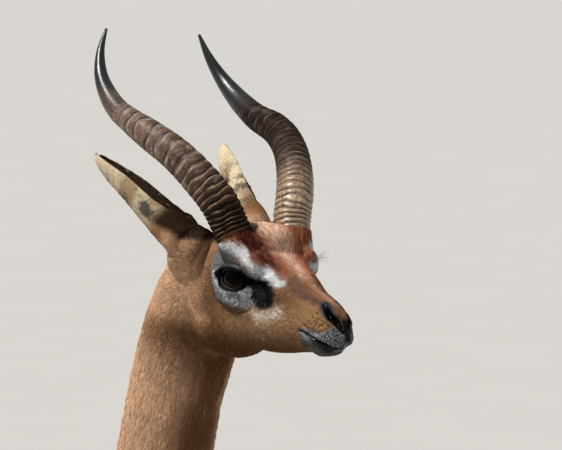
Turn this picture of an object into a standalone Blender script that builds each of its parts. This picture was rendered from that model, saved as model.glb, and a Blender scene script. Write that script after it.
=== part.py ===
"""Life-size standing male gerenuk, a long-necked antelope with ringed, S-shaped horns, as closed solids.

Metres, +Z up. The animal faces +X, its left is +Y, and its hooves stand on z = 0.
The flesh is modelled whole, from oval tubes and bulges that are fused and relaxed, and is then parted
with thin cuts into head, neck, torso, tail and legs. Horns, ears, eyes and hooves sit face to face on it.
"""

import math

import bmesh
import bpy
import numpy as np
from mathutils import Matrix, Vector

# Driving dimensions
SHOULDER_HEIGHT = 0.96
TRUNK_LENGTH = 0.94
TRUNK_BACK = -0.805
EYE_HEIGHT = 1.40
EYE_AHEAD = 0.38
HORN_RIDGES = 19
EAR_THICKNESS = 0.0032
EYE_RADIUS = 0.0195
LID_THICKNESS = 0.0024
GAP = 0.0003

# The head's own frame has its origin midway between the eyes
HEAD = Vector((EYE_AHEAD, 0.0, EYE_HEIGHT))
LEFT, RIGHT = 1, -1
SIDES = {"left": LEFT, "right": RIGHT}

# Resolution
BODY_VOXEL = 0.0042
HEAD_VOXEL = 0.0023
SOFTEN_ROUNDS = 6
RELAX_ROUNDS = 30
BODY_FACES = 4900
NECK_AND_HEAD_FACES = 5000

# Upright sections of the trunk, from the buttocks to the point of the shoulder: share of the trunk's length,
# then back line, widest height and belly line as shares of the shoulder height, then half width in metres
TRUNK = (
    (0.000, 0.880, 0.850, 0.815, 0.020),
    (0.022, 0.920, 0.860, 0.780, 0.048),
    (0.064, 0.957, 0.865, 0.745, 0.078),
    (0.122, 0.983, 0.854, 0.729, 0.096),
    (0.197, 0.992, 0.844, 0.720, 0.104),
    (0.293, 0.988, 0.833, 0.698, 0.107),
    (0.399, 0.978, 0.812, 0.664, 0.116),
    (0.516, 0.975, 0.792, 0.634, 0.122),
    (0.633, 0.983, 0.786, 0.615, 0.121),
    (0.739, 1.000, 0.781, 0.606, 0.112),
    (0.824, 0.995, 0.776, 0.609, 0.098),
    (0.910, 0.960, 0.781, 0.637, 0.080),
    (0.968, 0.915, 0.786, 0.680, 0.056),
    (1.000, 0.870, 0.792, 0.735, 0.030),
)

# Neck from the skull down: ahead of the eyes, above the eyes, front, back and side radius
NECK = (
    (-0.085, 0.004, 0.032, 0.028, 0.033),
    (-0.112, -0.015, 0.050, 0.042, 0.0425),
    (-0.134, -0.045, 0.061, 0.047, 0.0435),
    (-0.151, -0.082, 0.061, 0.051, 0.0445),
    (-0.167, -0.125, 0.056, 0.056, 0.0440),
    (-0.184, -0.180, 0.056, 0.058, 0.0455),
    (-0.217, -0.280, 0.060, 0.060, 0.048),
    (-0.263, -0.390, 0.070, 0.068, 0.053),
    (-0.320, -0.495, 0.092, 0.084, 0.065),
    (-0.380, -0.590, 0.118, 0.108, 0.084),
    (-0.430, -0.640, 0.120, 0.110, 0.088),
)

# Upright sections of the head from the nape to the nose: ahead of the eyes, crown line, widest height and
# jaw line above the eyes, half width, squareness of the upper and of the lower half
SKULL = (
    (-0.1130, 0.004, -0.012, -0.028, 0.0160, 2.0, 2.0),
    (-0.1060, 0.018, -0.010, -0.044, 0.0280, 2.0, 2.0),
    (-0.0900, 0.033, -0.008, -0.056, 0.0360, 2.0, 2.0),
    (-0.0700, 0.042, -0.008, -0.063, 0.0385, 2.1, 2.0),
    (-0.0450, 0.048, -0.008, -0.068, 0.0395, 2.2, 1.9),
    (-0.0200, 0.050, -0.006, -0.071, 0.0400, 2.5, 1.8),
    (0.0000, 0.0435, -0.006, -0.073, 0.0400, 2.6, 1.75),
    (0.0200, 0.0315, -0.010, -0.073, 0.0375, 2.4, 1.75),
    (0.0400, 0.0200, -0.016, -0.0715, 0.0325, 2.2, 1.8),
    (0.0600, 0.0095, -0.023, -0.069, 0.0268, 2.1, 1.85),
    (0.0800, -0.0030, -0.030, -0.067, 0.0230, 2.1, 1.9),
    (0.1000, -0.0104, -0.037, -0.0675, 0.0208, 2.1, 2.0),
    (0.1150, -0.0163, -0.042, -0.0630, 0.0180, 2.1, 2.1),
    (0.1235, -0.0230, -0.0445, -0.0600, 0.0150, 2.1, 2.1),
    (0.1300, -0.0312, -0.0465, -0.0585, 0.0112, 2.0, 2.0),
    (0.1345, -0.0390, -0.0475, -0.0565, 0.0072, 2.0, 2.0),
    (0.1375, -0.0445, -0.0485, -0.0540, 0.0040, 2.0, 2.0),
    (0.1390, -0.0470, -0.0490, -0.0520, 0.0018, 2.0, 2.0),
)

# Fleshy forms of one side of the head: centre (ahead, out, above the eyes) and half sizes
FACE_BULGES = {
    "orbit": ((-0.0030, 0.0270, -0.0010), (0.0290, 0.0180, 0.0320)),
    "brow": ((0.0145, 0.0345, 0.0125), (0.0230, 0.0130, 0.0165)),
    "cheekbone": ((0.0060, 0.0270, -0.0200), (0.0300, 0.0130, 0.0130)),
    "cheek": ((-0.0300, 0.0180, -0.0330), (0.0420, 0.0190, 0.0330)),
    "gland": ((0.0460, 0.0220, -0.0130), (0.0200, 0.0100, 0.0150)),
    "nose_wing": ((0.1205, 0.0068, -0.0325), (0.0115, 0.0068, 0.0078)),
    "upper_lip": ((0.1165, 0.0078, -0.0495), (0.0170, 0.0083, 0.0090)),
    "lower_lip": ((0.1025, 0.0060, -0.0608), (0.0165, 0.0085, 0.0080)),
    "ear_muscle": ((-0.1000, 0.0400, 0.0120), (0.0150, 0.0110, 0.0170)),
}
TURNED_BULGES = ("orbit", "cheekbone", "brow", "gland")
BULGE_TURN = -25

# Fleshy forms on the midline of the head
MIDLINE_BULGES = {
    "throat": ((-0.060, 0.0, -0.052), (0.052, 0.034, 0.033)),
    "forehead": ((-0.012, 0.0, 0.030), (0.040, 0.036, 0.023)),
    "chin": ((0.097, 0.0, -0.0605), (0.019, 0.012, 0.0090)),
}

# The haired cone under a horn: its foot, how far its top passes the horn's first point, share and radius
HORN_SEAT_FOOT = (0.004, 0.026, 0.012)
HORN_SEAT_PAST = 0.004
HORN_SEAT_RADII = ((0.0, 0.0215), (0.5, 0.0208), (0.85, 0.0197), (1.0, 0.0188))
EAR_ROOT_RADII = (0.0225, 0.0210, 0.0198)

# Front leg: height, ahead of the shoulder line, out from the midline, front, back and side radius
SHOULDER_LINE = -0.030
FRONT_LEG = (
    (0.880, -0.050, 0.062, 0.050, 0.060, 0.024),
    (0.800, -0.005, 0.074, 0.066, 0.070, 0.035),
    (0.720, 0.025, 0.076, 0.064, 0.078, 0.041),
    (0.650, -0.010, 0.074, 0.058, 0.062, 0.039),
    (0.590, -0.026, 0.072, 0.045, 0.046, 0.034),
    (0.530, -0.014, 0.071, 0.034, 0.034, 0.0275),
    (0.440, -0.006, 0.070, 0.0235, 0.0250, 0.0205),
    (0.350, -0.002, 0.069, 0.0175, 0.0180, 0.0160),
    (0.305, 0.001, 0.068, 0.0205, 0.0185, 0.0185),
    (0.280, 0.001, 0.068, 0.0190, 0.0180, 0.0175),
    (0.255, -0.001, 0.068, 0.0145, 0.0160, 0.0140),
    (0.180, -0.001, 0.067, 0.0120, 0.0138, 0.0115),
    (0.115, 0.000, 0.067, 0.0122, 0.0148, 0.0120),
    (0.084, 0.003, 0.067, 0.0155, 0.0180, 0.0150),
    (0.058, 0.014, 0.067, 0.0130, 0.0135, 0.0135),
    (0.038, 0.023, 0.067, 0.0165, 0.0160, 0.0165),
    (0.018, 0.030, 0.067, 0.0165, 0.0160, 0.0165),
)

# Hind leg: height, ahead of the hip line, out from the midline, front, back and side radius
HIP_LINE = -0.700
HIND_LEG = (
    (0.900, 0.030, 0.050, 0.060, 0.055, 0.036),
    (0.830, 0.028, 0.062, 0.092, 0.092, 0.048),
    (0.750, 0.032, 0.070, 0.096, 0.098, 0.051),
    (0.670, 0.036, 0.077, 0.084, 0.082, 0.045),
    (0.600, 0.022, 0.080, 0.060, 0.058, 0.037),
    (0.520, -0.014, 0.080, 0.038, 0.042, 0.028),
    (0.440, -0.048, 0.079, 0.0250, 0.0290, 0.0200),
    (0.390, -0.066, 0.078, 0.0215, 0.0240, 0.0175),
    (0.350, -0.075, 0.078, 0.0225, 0.0240, 0.0190),
    (0.310, -0.073, 0.077, 0.0175, 0.0200, 0.0160),
    (0.220, -0.068, 0.076, 0.0135, 0.0150, 0.0125),
    (0.125, -0.062, 0.076, 0.0130, 0.0155, 0.0125),
    (0.084, -0.058, 0.076, 0.0160, 0.0185, 0.0155),
    (0.058, -0.046, 0.076, 0.0132, 0.0138, 0.0135),
    (0.038, -0.037, 0.076, 0.0165, 0.0160, 0.0165),
    (0.018, -0.030, 0.076, 0.0165, 0.0160, 0.0165),
)

# Forms of the legs: centre ahead of the leg's line, out and height, half sizes, and the share of the stride
# that each follows
FRONT_LEG_BULGES = (
    ((0.065, 0.062, 0.735), (0.062, 0.038, 0.070), 0.0),
    ((-0.032, 0.072, 0.585), (0.026, 0.019, 0.030), 0.35),
)
HIND_LEG_BULGES = (((0.085, 0.080, 0.650), (0.034, 0.032, 0.052), 0.3),)
# Point of the hock: height, how far it stands behind the leg, and half sizes
HOCK = (0.380, 0.0235, (0.0115, 0.0115, 0.0240))
# Tendon above the hock: height, how far it stands behind the leg, and radius
TENDON = (
    (0.385, 0.0225, 0.0095),
    (0.440, 0.0300, 0.0090),
    (0.500, 0.0240, 0.0160),
    (0.560, 0.0000, 0.0200),
)
DEWCLAW_PLACE = (-0.040, 0.008, 0.070)
DEWCLAW_SIZE = (0.0085, 0.0060, 0.0105)

# How far each foot is set ahead of its leg's neutral place, for a natural stance
STRIDE = {
    ("front", LEFT): 0.030,
    ("front", RIGHT): -0.025,
    ("hind", LEFT): -0.045,
    ("hind", RIGHT): 0.040,
}

# Horn centreline of one side: ahead, out and above the eyes, with the radius there
HORN = (
    (-0.0085, 0.0335, 0.0400, 0.0188),
    (-0.0135, 0.0365, 0.0520, 0.0190),
    (-0.0200, 0.0440, 0.0725, 0.0192),
    (-0.0385, 0.0570, 0.0985, 0.0184),
    (-0.0610, 0.0675, 0.1190, 0.0172),
    (-0.0945, 0.0765, 0.1370, 0.0155),
    (-0.1305, 0.0755, 0.1485, 0.0130),
    (-0.1710, 0.0755, 0.1665, 0.0103),
    (-0.1945, 0.0715, 0.1865, 0.0071),
    (-0.2060, 0.0645, 0.2070, 0.0043),
    (-0.2095, 0.0555, 0.2290, 0.0014),
)
# The left horn's bend leans inwards more, and the right horn's tip stands a little higher
BEND_LEAN = {LEFT: -0.0045, RIGHT: 0.0}
BEND_PLACE = -0.115
BEND_REACH = 0.045
TIP_LIFT = {LEFT: -0.001, RIGHT: 0.008}
TIP_LIFT_FROM = -0.150
TIP_LIFT_REACH = 0.055
RIDGED_SHARE = 0.66
RIDGE_DEPTH = 0.0013
RIDGE_CROWDING = 1.22
HORN_DEEP, HORN_WIDE = 1.03, 0.95

# Ear: root, middle and tip of its back line, and the radius and half opening angle of its curl along it
EAR_LINE = (
    (-0.0740, 0.0300, 0.0215),
    (-0.0880, 0.0422, 0.0338),
    (-0.1320, 0.0590, 0.0790),
    (-0.1845, 0.0755, 0.1180),
)
EAR_CURL = (
    (0.00, 0.0185, 172),
    (0.10, 0.0200, 150),
    (0.20, 0.0210, 120),
    (0.32, 0.0215, 106),
    (0.45, 0.0210, 99),
    (0.62, 0.0200, 94),
    (0.78, 0.0180, 86),
    (0.90, 0.0140, 80),
    (0.97, 0.0090, 74),
    (1.00, 0.0040, 70),
)
EAR_SWAY = 0.35
# How far each ear's tip stands off its line
EAR_LEAN = {LEFT: (0.0, 0.0035, -0.0025), RIGHT: (0.0, 0.0, 0.0)}
# The way each ear's cup opens: the right ear is turned further in and up
EAR_OPENING = {LEFT: (0.53, 0.73, 0.40), RIGHT: (0.54, 0.43, 0.71)}

# Mouth line and nostril of one side, ahead, out and above the eyes
MOUTH_LINE = (
    (0.0830, 0.0230, -0.0440),
    (0.1000, 0.0205, -0.0482),
    (0.1100, 0.0190, -0.0523),
    (0.1190, 0.0150, -0.0563),
    (0.1228, 0.0085, -0.0583),
    (0.1235, 0.0000, -0.0590),
)
MOUTH_OPEN = 0.0016
MOUTH_DEPTH = 0.0045
NOSTRIL = (
    (0.1100, 0.0085, -0.0188, 0.0008),
    (0.1170, 0.0105, -0.0230, 0.0018),
    (0.1235, 0.0108, -0.0280, 0.0027),
    (0.1290, 0.0088, -0.0325, 0.0029),
    (0.1335, 0.0060, -0.0370, 0.0024),
    (0.1365, 0.0038, -0.0402, 0.0012),
)

# Eye
EYE_CENTRE = (-0.0060, 0.0273, -0.0010)
EYE_AIM = (0.40, 0.91, 0.04)
EYE_OPENING = (0.0174, 0.0112, 0.0098)
EYE_TILT = 14

# Hooves: two claws a foot, cut level with the floor
CLAW_LENGTH = 0.050
CLAW_WIDTH = 0.0158
CLAW_HEIGHT = 0.034
CORONET_SLOPE = 0.35
CLEFT = 0.0012
CLAW_SIDES = 14
CLAW_TOE_TAPER = 0.30
CLAW_INNER_BULGE = 0.12
# Sections of a claw: share of its height, shares of its length and width, and how far ahead it is centred
CLAW_ROWS = (
    (0.00, 0.960, 0.950, 0.0060),
    (0.12, 0.964, 0.998, 0.0050),
    (0.55, 0.835, 0.989, 0.0013),
    (1.00, 0.700, 0.980, -0.0025),
)

# Tail
TAIL = (
    (-0.760, 0.880, 0.018, 0.020, 0.022),
    (-0.795, 0.868, 0.016, 0.018, 0.019),
    (-0.818, 0.830, 0.0125, 0.0130, 0.0140),
    (-0.828, 0.780, 0.0105, 0.0110, 0.0115),
    (-0.832, 0.725, 0.0095, 0.0095, 0.0100),
    (-0.832, 0.670, 0.0090, 0.0090, 0.0095),
    (-0.831, 0.640, 0.0060, 0.0060, 0.0065),
)
TAIL_LOCKS = 11
TAIL_LOCK_LENGTH = 0.085
TAIL_LOCK_WIDTH = 0.0082
TAIL_LOCK_THICKNESS = 0.0028
TAIL_LOCK_FLARE = 0.007
TAIL_LOCK_SWING = 0.008
# A lock's rows: share of its length, how far out it stands in tail radii, and shares of its width and depth
TAIL_LOCK_ROWS = (
    (0.0, 0.10, 1.00, 1.00),
    (0.3, 0.55, 0.82, 0.80),
    (0.7, 0.55, 0.52, 0.48),
    (1.0, 0.55, 0.09, 0.22),
)

# The block that holds each leg, seen from the side: rear top, front top, front foot and rear foot,
# and how far out from the midline it begins
LEG_REGION = {
    "front": ((-0.116, 0.632), (0.004, 0.612), (0.110, 0.0), (-0.160, 0.0)),
    "hind": ((-0.800, 0.768), (-0.556, 0.700), (-0.580, 0.0), (-0.930, 0.0)),
}
LEG_INSIDE = {"front": 0.030, "hind": 0.026}
REGION_FLOOR = -0.05

# Where the whole body is parted: a point and the way the cut faces, towards the part that is named
HEAD_CUT = (HEAD + Vector((-0.078, 0.0, -0.050)), Vector((0.80, 0.0, 0.60)))
NECK_CUT = (Vector((0.030, 0.0, 0.870)), Vector((0.62, 0.0, 0.78)))
TAIL_CUT = (Vector((-0.8060, 0.0, 0.850)), Vector((-0.995, 0.0, -0.06)))


def smooth_rows(rows, count):
    """Rows on a smooth curve through the given ones, evenly spaced along their first three columns."""
    rows = np.asarray(rows, float)
    steps = np.linalg.norm(np.diff(rows[:, :3], axis=0), axis=1)
    knots = np.concatenate([[0.0], np.cumsum(steps)])
    slopes = np.gradient(rows, knots, axis=0)
    places = np.linspace(0.0, knots[-1], count)
    span = np.clip(np.searchsorted(knots, places, side="right") - 1, 0, len(rows) - 2)
    width = (knots[span + 1] - knots[span])[:, None]
    t = (places[:, None] - knots[span][:, None]) / width
    start = rows[span] * (2 * t**3 - 3 * t**2 + 1) + slopes[span] * width * (t**3 - 2 * t**2 + t)
    end = rows[span + 1] * (3 * t**2 - 2 * t**3) + slopes[span + 1] * width * (t**3 - t**2)
    return start + end


def values_at(table, share):
    """The table's other columns, read at a share of its first column."""
    table = np.asarray(table, float)
    return [float(np.interp(share, table[:, 0], column)) for column in table.T[1:]]


def new_object(name, mesh, colour=(0.45, 0.30, 0.20), roughness=0.8):
    """An object with its own material, linked to the scene."""
    made = bpy.data.objects.new(name, mesh)
    bpy.context.scene.collection.objects.link(made)
    paint(made, colour, roughness)
    return made


def paint(target, colour, roughness):
    """Gives an object a Principled material of one colour."""
    material = bpy.data.materials.new(target.name)
    material.use_nodes = True
    shader = material.node_tree.nodes["Principled BSDF"]
    shader.inputs["Base Color"].default_value = (*colour, 1.0)
    shader.inputs["Roughness"].default_value = roughness
    target.data.materials.clear()
    target.data.materials.append(material)


def mesh_of(name, points, faces):
    mesh = bpy.data.meshes.new(name)
    mesh.from_pydata([tuple(p) for p in points], [], faces)
    shape = bmesh.new()
    shape.from_mesh(mesh)
    bmesh.ops.recalc_face_normals(shape, faces=shape.faces)
    shape.to_mesh(mesh)
    shape.free()
    return mesh


def rings_to_object(name, rings, start=None, end=None):
    """A closed body through rings of equal point counts, each end closed by a fan to a point."""
    count = len(rings[0])
    points = [p for ring in rings for p in ring]
    faces = []
    for row in range(len(rings) - 1):
        for k in range(count):
            after = (k + 1) % count
            low, high = row * count, (row + 1) * count
            faces.append((low + k, low + after, high + after, high + k))
    start = np.mean(rings[0], axis=0) if start is None else start
    end = np.mean(rings[-1], axis=0) if end is None else end
    points += [start, end]
    last = (len(rings) - 1) * count
    for k in range(count):
        after = (k + 1) % count
        faces.append((len(points) - 2, after, k))
        faces.append((len(points) - 1, last + k, last + after))
    return new_object(name, mesh_of(name, points, faces))


def oval(centre, over, under, side, above, below, beside, squares, sides):
    """One section: half ovals of two radii, each with its own squareness (2 is an ellipse)."""
    ring = []
    for k in range(sides):
        angle = 2 * math.pi * k / sides
        up, out = math.cos(angle), math.sin(angle)
        square = squares[0] if up > 0 else squares[1]
        power = 2.0 / square
        up_share = math.copysign(abs(up) ** power, up)
        out_share = math.copysign(abs(out) ** power, out)
        reach = above if up > 0 else below
        direction = over if up > 0 else under
        ring.append(np.asarray(centre) + direction * abs(up_share) * reach + side * out_share * beside)
    return ring


def tube(name, rows, count, sides=26, upright=False):
    """A body of oval sections along rows of x, y, z, over, under, side radius and two squarenesses.

    Over is the side that faces up on a body that runs forward, and forward on one that runs down.
    """
    rows = np.asarray(rows, float)
    if rows.shape[1] == 6:
        rows = np.hstack([rows, np.full((len(rows), 2), 2.0)])
    rows = smooth_rows(rows, count)
    along = np.gradient(rows[:, :3], axis=0)
    along /= np.linalg.norm(along, axis=1)[:, None]
    beside = np.array([0.0, 1.0, 0.0])
    rings = []
    for row, forward in zip(rows, along):
        if upright:
            forward = np.array([1.0, 0.0, 0.0])
        over = np.cross(forward, beside)
        over /= np.linalg.norm(over)
        rings.append(oval(row[:3], over, -over, beside, row[3], row[4], row[5], row[6:8], sides))
    return rings_to_object(name, rings)


def round_tube(name, rows, count, sides):
    """A tube of round sections whose frame turns with its path, which may leave the upright plane."""
    rows = smooth_rows(rows, count)
    path = rows[:, :3]
    along = np.gradient(path, axis=0)
    along /= np.linalg.norm(along, axis=1)[:, None]
    across = np.cross(along[0], [0.0, 1.0, 0.0])
    rings = []
    for point, forward, radius in zip(path, along, rows[:, 3]):
        across = across - forward * np.dot(across, forward)
        across /= np.linalg.norm(across)
        other = np.cross(forward, across)
        rings.append(oval(point, across, -across, other, radius, radius, radius, (2, 2), sides))
    return rings_to_object(name, rings)


def bulge(name, centre, radii, turn=0.0):
    """An ellipsoid, turned about the upright axis by some degrees."""
    shape = bmesh.new()
    spin = Matrix.Translation(Vector(centre)) @ Matrix.Rotation(math.radians(turn), 4, "Z")
    stretch = Matrix.Diagonal((*radii, 1.0))
    bmesh.ops.create_uvsphere(shape, u_segments=28, v_segments=18, radius=1.0, matrix=spin @ stretch)
    mesh = bpy.data.meshes.new(name)
    shape.to_mesh(mesh)
    shape.free()
    return new_object(name, mesh)


def half_space(name, cut, inset=0.0):
    """A large block that fills the space a cut faces, held back from its plane by an inset."""
    point, facing = Vector(cut[0]), Vector(cut[1]).normalized()
    reach = 2.0
    shape = bmesh.new()
    turn = facing.to_track_quat("Z", "Y").to_matrix().to_4x4()
    middle = Matrix.Translation(point + facing * (reach / 2 + inset))
    bmesh.ops.create_cube(shape, size=reach, matrix=middle @ turn)
    mesh = bpy.data.meshes.new(name)
    shape.to_mesh(mesh)
    shape.free()
    return new_object(name, mesh)


def apply_modifiers(target):
    """Replaces an object's mesh by what its modifiers make of it."""
    graph = bpy.context.evaluated_depsgraph_get()
    mesh = bpy.data.meshes.new_from_object(target.evaluated_get(graph))
    target.modifiers.clear()
    target.data = mesh


def remove(*targets):
    for target in targets:
        bpy.data.objects.remove(target)


def carve(target, tool, operation, keep_tool=False):
    """Joins, cuts or crosses a closed body with another."""
    change = target.modifiers.new("carve", "BOOLEAN")
    change.object = tool
    change.operation = operation
    change.solver = "MANIFOLD"
    apply_modifiers(target)
    if not keep_tool:
        remove(tool)
    return target


def copy_of(target, name):
    made = bpy.data.objects.new(name, target.data.copy())
    bpy.context.scene.collection.objects.link(made)
    return made


def joined(name, pieces):
    """The union of closed bodies as one object."""
    group = bpy.data.collections.new(name)
    bpy.context.scene.collection.children.link(group)
    for piece in pieces[1:]:
        group.objects.link(piece)
        bpy.context.scene.collection.objects.unlink(piece)
    base = pieces[0]
    change = base.modifiers.new("join", "BOOLEAN")
    change.operand_type = "COLLECTION"
    change.collection = group
    change.operation = "UNION"
    change.solver = "MANIFOLD"
    apply_modifiers(base)
    remove(*pieces[1:])
    bpy.data.collections.remove(group)
    base.name = name
    return base


def relax(mesh, rounds, forward=0.5, backward=-0.53):
    """Smooths creases without shrinking the body, by alternating steps towards and from the neighbours."""
    count = len(mesh.vertices)
    points = np.zeros(count * 3)
    mesh.vertices.foreach_get("co", points)
    points = points.reshape(-1, 3)
    ends = np.zeros(len(mesh.edges) * 2, int)
    mesh.edges.foreach_get("vertices", ends)
    first, second = ends[0::2], ends[1::2]
    degree = np.bincount(first, minlength=count) + np.bincount(second, minlength=count)
    for step in [forward, backward] * rounds:
        mean = np.empty_like(points)
        for axis in range(3):
            column = points[:, axis]
            total = np.bincount(first, column[second], count) + np.bincount(second, column[first], count)
            mean[:, axis] = total / degree
        points = points + step * (mean - points)
    mesh.vertices.foreach_set("co", points.ravel())
    mesh.update()


def fused(name, pieces, voxel, rounds):
    """One closed skin round overlapping pieces, with its creases relaxed."""
    shape = bmesh.new()
    for piece in pieces:
        shape.from_mesh(piece.data)
    mesh = bpy.data.meshes.new(name)
    shape.to_mesh(mesh)
    shape.free()
    remove(*pieces)
    made = new_object(name, mesh)
    skin = made.modifiers.new("skin", "REMESH")
    skin.mode = "VOXEL"
    skin.voxel_size = voxel
    apply_modifiers(made)
    relax(made.data, SOFTEN_ROUNDS, backward=0.0)
    relax(made.data, rounds)
    return made


def largest_only(target):
    """Keeps the largest closed surface of a mesh."""
    shape = bmesh.new()
    shape.from_mesh(target.data)
    unseen = set(shape.verts)
    islands = []
    while unseen:
        seed = unseen.pop()
        island, edge_of_search = {seed}, [seed]
        while edge_of_search:
            vertex = edge_of_search.pop()
            for edge in vertex.link_edges:
                other = edge.other_vert(vertex)
                if other in unseen:
                    unseen.remove(other)
                    island.add(other)
                    edge_of_search.append(other)
        islands.append(island)
    islands.sort(key=len, reverse=True)
    loose = [vertex for island in islands[1:] for vertex in island]
    bmesh.ops.delete(shape, geom=loose, context="VERTS")
    shape.to_mesh(target.data)
    shape.free()
    return target


def thin_out(target, faces):
    """Reduces a mesh to about so many triangles, most where it is flattest."""
    triangles = sum(len(polygon.vertices) - 2 for polygon in target.data.polygons)
    change = target.modifiers.new("thin", "DECIMATE")
    change.ratio = min(1.0, faces / triangles)
    change.use_collapse_triangulate = True
    apply_modifiers(target)
    return target


def on_horn(place, side):
    """A place on the left horn's centreline, for either horn."""
    x, y, z = place[:3]
    share = min(max((TIP_LIFT_FROM - x) / TIP_LIFT_REACH, 0.0), 1.0)
    lean = BEND_LEAN[side] * math.exp(-(((x - BEND_PLACE) / BEND_REACH) ** 2))
    return on_head((x, y + lean, z + TIP_LIFT[side] * share), side)


def on_head(place, side=LEFT):
    """A place in the head's frame, given for the left side, as a point of the part."""
    return HEAD + Vector((place[0], place[1] * side, place[2]))


def trunk():
    rows = []
    for share, back, widest, belly, half in TRUNK:
        x = TRUNK_BACK + share * TRUNK_LENGTH
        height = widest * SHOULDER_HEIGHT
        over = (back - widest) * SHOULDER_HEIGHT
        under = (widest - belly) * SHOULDER_HEIGHT
        rows.append((x, 0.0, height, over, under, half, 2.0, 2.0))
    return tube("trunk", rows, 60, sides=40, upright=True)


def neck():
    rows = [(HEAD.x + a, 0.0, HEAD.z + b, *radii) for a, b, *radii in NECK]
    return tube("neck_flesh", rows, 60, sides=36)


def skull():
    rows = []
    for ahead, crown, widest, jaw, half, upper, lower in SKULL:
        x, z = HEAD.x + ahead, HEAD.z + widest
        rows.append((x, 0.0, z, crown - widest, widest - jaw, half, upper, lower))
    return tube("skull", rows, 90, sides=48, upright=True)


def head_pieces():
    """The overlapping forms that make the head's flesh."""
    pieces = [skull()]
    for side in SIDES.values():
        for name, (centre, radii) in FACE_BULGES.items():
            turn = BULGE_TURN * side if name in TURNED_BULGES else 0
            pieces.append(bulge(name, on_head(centre, side), radii, turn))
        lid_radius = EYE_RADIUS + LID_THICKNESS
        pieces.append(bulge("lids", on_head(EYE_CENTRE, side), (lid_radius,) * 3))
        pieces.append(horn_seat(side))
        pieces.append(ear_root(side))
    for name, (centre, radii) in MIDLINE_BULGES.items():
        pieces.append(bulge(name, on_head(centre), radii))
    return pieces


def horn_seat(side):
    """The haired cone of the brow that carries a horn."""
    foot, first = on_head(HORN_SEAT_FOOT, side), on_head(HORN[0][:3], side)
    top = first + (first - foot).normalized() * HORN_SEAT_PAST
    rows = [(*foot.lerp(top, share), radius) for share, radius in HORN_SEAT_RADII]
    return round_tube("horn_seat", rows, 10, 20)


def ear_root(side):
    """The round fleshy root of an ear."""
    low, high = on_head(EAR_LINE[0], side), on_head(EAR_LINE[1], side)
    rows = [(*low.lerp(high, k / 2), radius) for k, radius in enumerate(EAR_ROOT_RADII)]
    return round_tube("ear_root", rows, 8, 20)


def leg_tube(name, table, line, stride, side):
    """One leg, its foot set ahead by its stride."""
    top = table[0][0]
    rows = []
    for height, ahead, out, front, back, beside in table:
        share = 1 - height / top
        x = line + ahead + stride * share
        rows.append((x, out * side, height, front, back, beside))
    return tube(name, rows, 110, sides=22)


def leg_point(table, line, stride, side, height):
    """The middle of a leg at a height."""
    heights = [row[0] for row in reversed(table)]
    ahead = float(np.interp(height, heights, [row[1] for row in reversed(table)]))
    out = float(np.interp(height, heights, [row[2] for row in reversed(table)]))
    return Vector((line + ahead + stride * (1 - height / table[0][0]), out * side, height))


def leg_bulges(table, line, stride, side):
    made = []
    for (ahead, out, height), radii, follow in table:
        made.append(bulge("leg_form", (line + ahead + stride * follow, out * side, height), radii))
    return made


def front_leg(side):
    stride = STRIDE["front", side]
    leg = leg_tube("front_leg", FRONT_LEG, SHOULDER_LINE, stride, side)
    return [leg, *leg_bulges(FRONT_LEG_BULGES, SHOULDER_LINE, stride, side), *dewclaws("front", side)]


def hind_leg(side):
    stride = STRIDE["hind", side]
    leg = leg_tube("hind_leg", HIND_LEG, HIP_LINE, stride, side)
    height, behind, radii = HOCK
    hock = bulge("hock", behind_leg(stride, side, height, behind), radii)
    rows = [(*behind_leg(stride, side, height, behind), radius) for height, behind, radius in TENDON]
    tendon = round_tube("tendon", rows, 14, 16)
    stifle = leg_bulges(HIND_LEG_BULGES, HIP_LINE, stride, side)
    return [leg, hock, tendon, *stifle, *dewclaws("hind", side)]


def behind_leg(stride, side, height, behind):
    """A place so far behind the middle of a hind leg."""
    return leg_point(HIND_LEG, HIP_LINE, stride, side, height) - Vector((behind, 0.0, 0.0))


def foot_place(which, side):
    """Where a foot's hooves are centred on the floor."""
    table, line = (FRONT_LEG, SHOULDER_LINE) if which == "front" else (HIND_LEG, HIP_LINE)
    height, ahead, out = table[-1][:3]
    share = 1 - height / table[0][0]
    return Vector((line + ahead + STRIDE[which, side] * share, out * side, 0.0))


def dewclaws(which, side):
    foot = foot_place(which, side)
    ahead, out, height = DEWCLAW_PLACE
    return [bulge("dewclaw", foot + Vector((ahead, out * half, height)), DEWCLAW_SIZE) for half in (-1, 1)]


def tail_tube():
    rows = [(x, 0.0, z, front, back, beside) for x, z, front, back, beside in TAIL]
    return tube("tail_flesh", rows, 44, sides=16)


def coronet_plane(which, side, lift=0.0):
    """The slanted plane between a leg's flesh and its hooves, facing up."""
    point = foot_place(which, side) + Vector((0.0, 0.0, CLAW_HEIGHT * 0.80 + lift))
    return point, Vector((-CORONET_SLOPE, 0.0, 1.0))


def claw(which, side, half):
    """One claw of a foot: level below, its wall sloping back up to the slanted coronet."""
    name = "outer" if half * side > 0 else "inner"
    side_name = "left" if side == LEFT else "right"
    foot = foot_place(which, side)
    point, facing = coronet_plane(which, side)
    rings = []
    for share, length, width, middle in CLAW_ROWS:
        length, width = length * CLAW_LENGTH, width * CLAW_WIDTH
        ring = []
        for k in range(CLAW_SIDES):
            angle = 2 * math.pi * k / CLAW_SIDES
            ahead, out = math.cos(angle), math.sin(angle)
            x = foot.x + middle + ahead * length / 2
            taper = 1.0 - CLAW_TOE_TAPER * max(ahead, 0.0) ** 2
            y = width * (out**0.8 if out > 0 else CLAW_INNER_BULGE * out) * taper
            y = foot.y + half * (CLEFT / 2 + CLAW_INNER_BULGE * width + y)
            top = point.z + (x - point.x) * -facing.x / facing.z
            ring.append(np.array([x, y, top * share]))
        rings.append(ring)
    made = rings_to_object(f"hoof_{which}_{side_name}_{name}", rings)
    paint(made, (0.05, 0.045, 0.04), 0.4)
    return made


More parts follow.
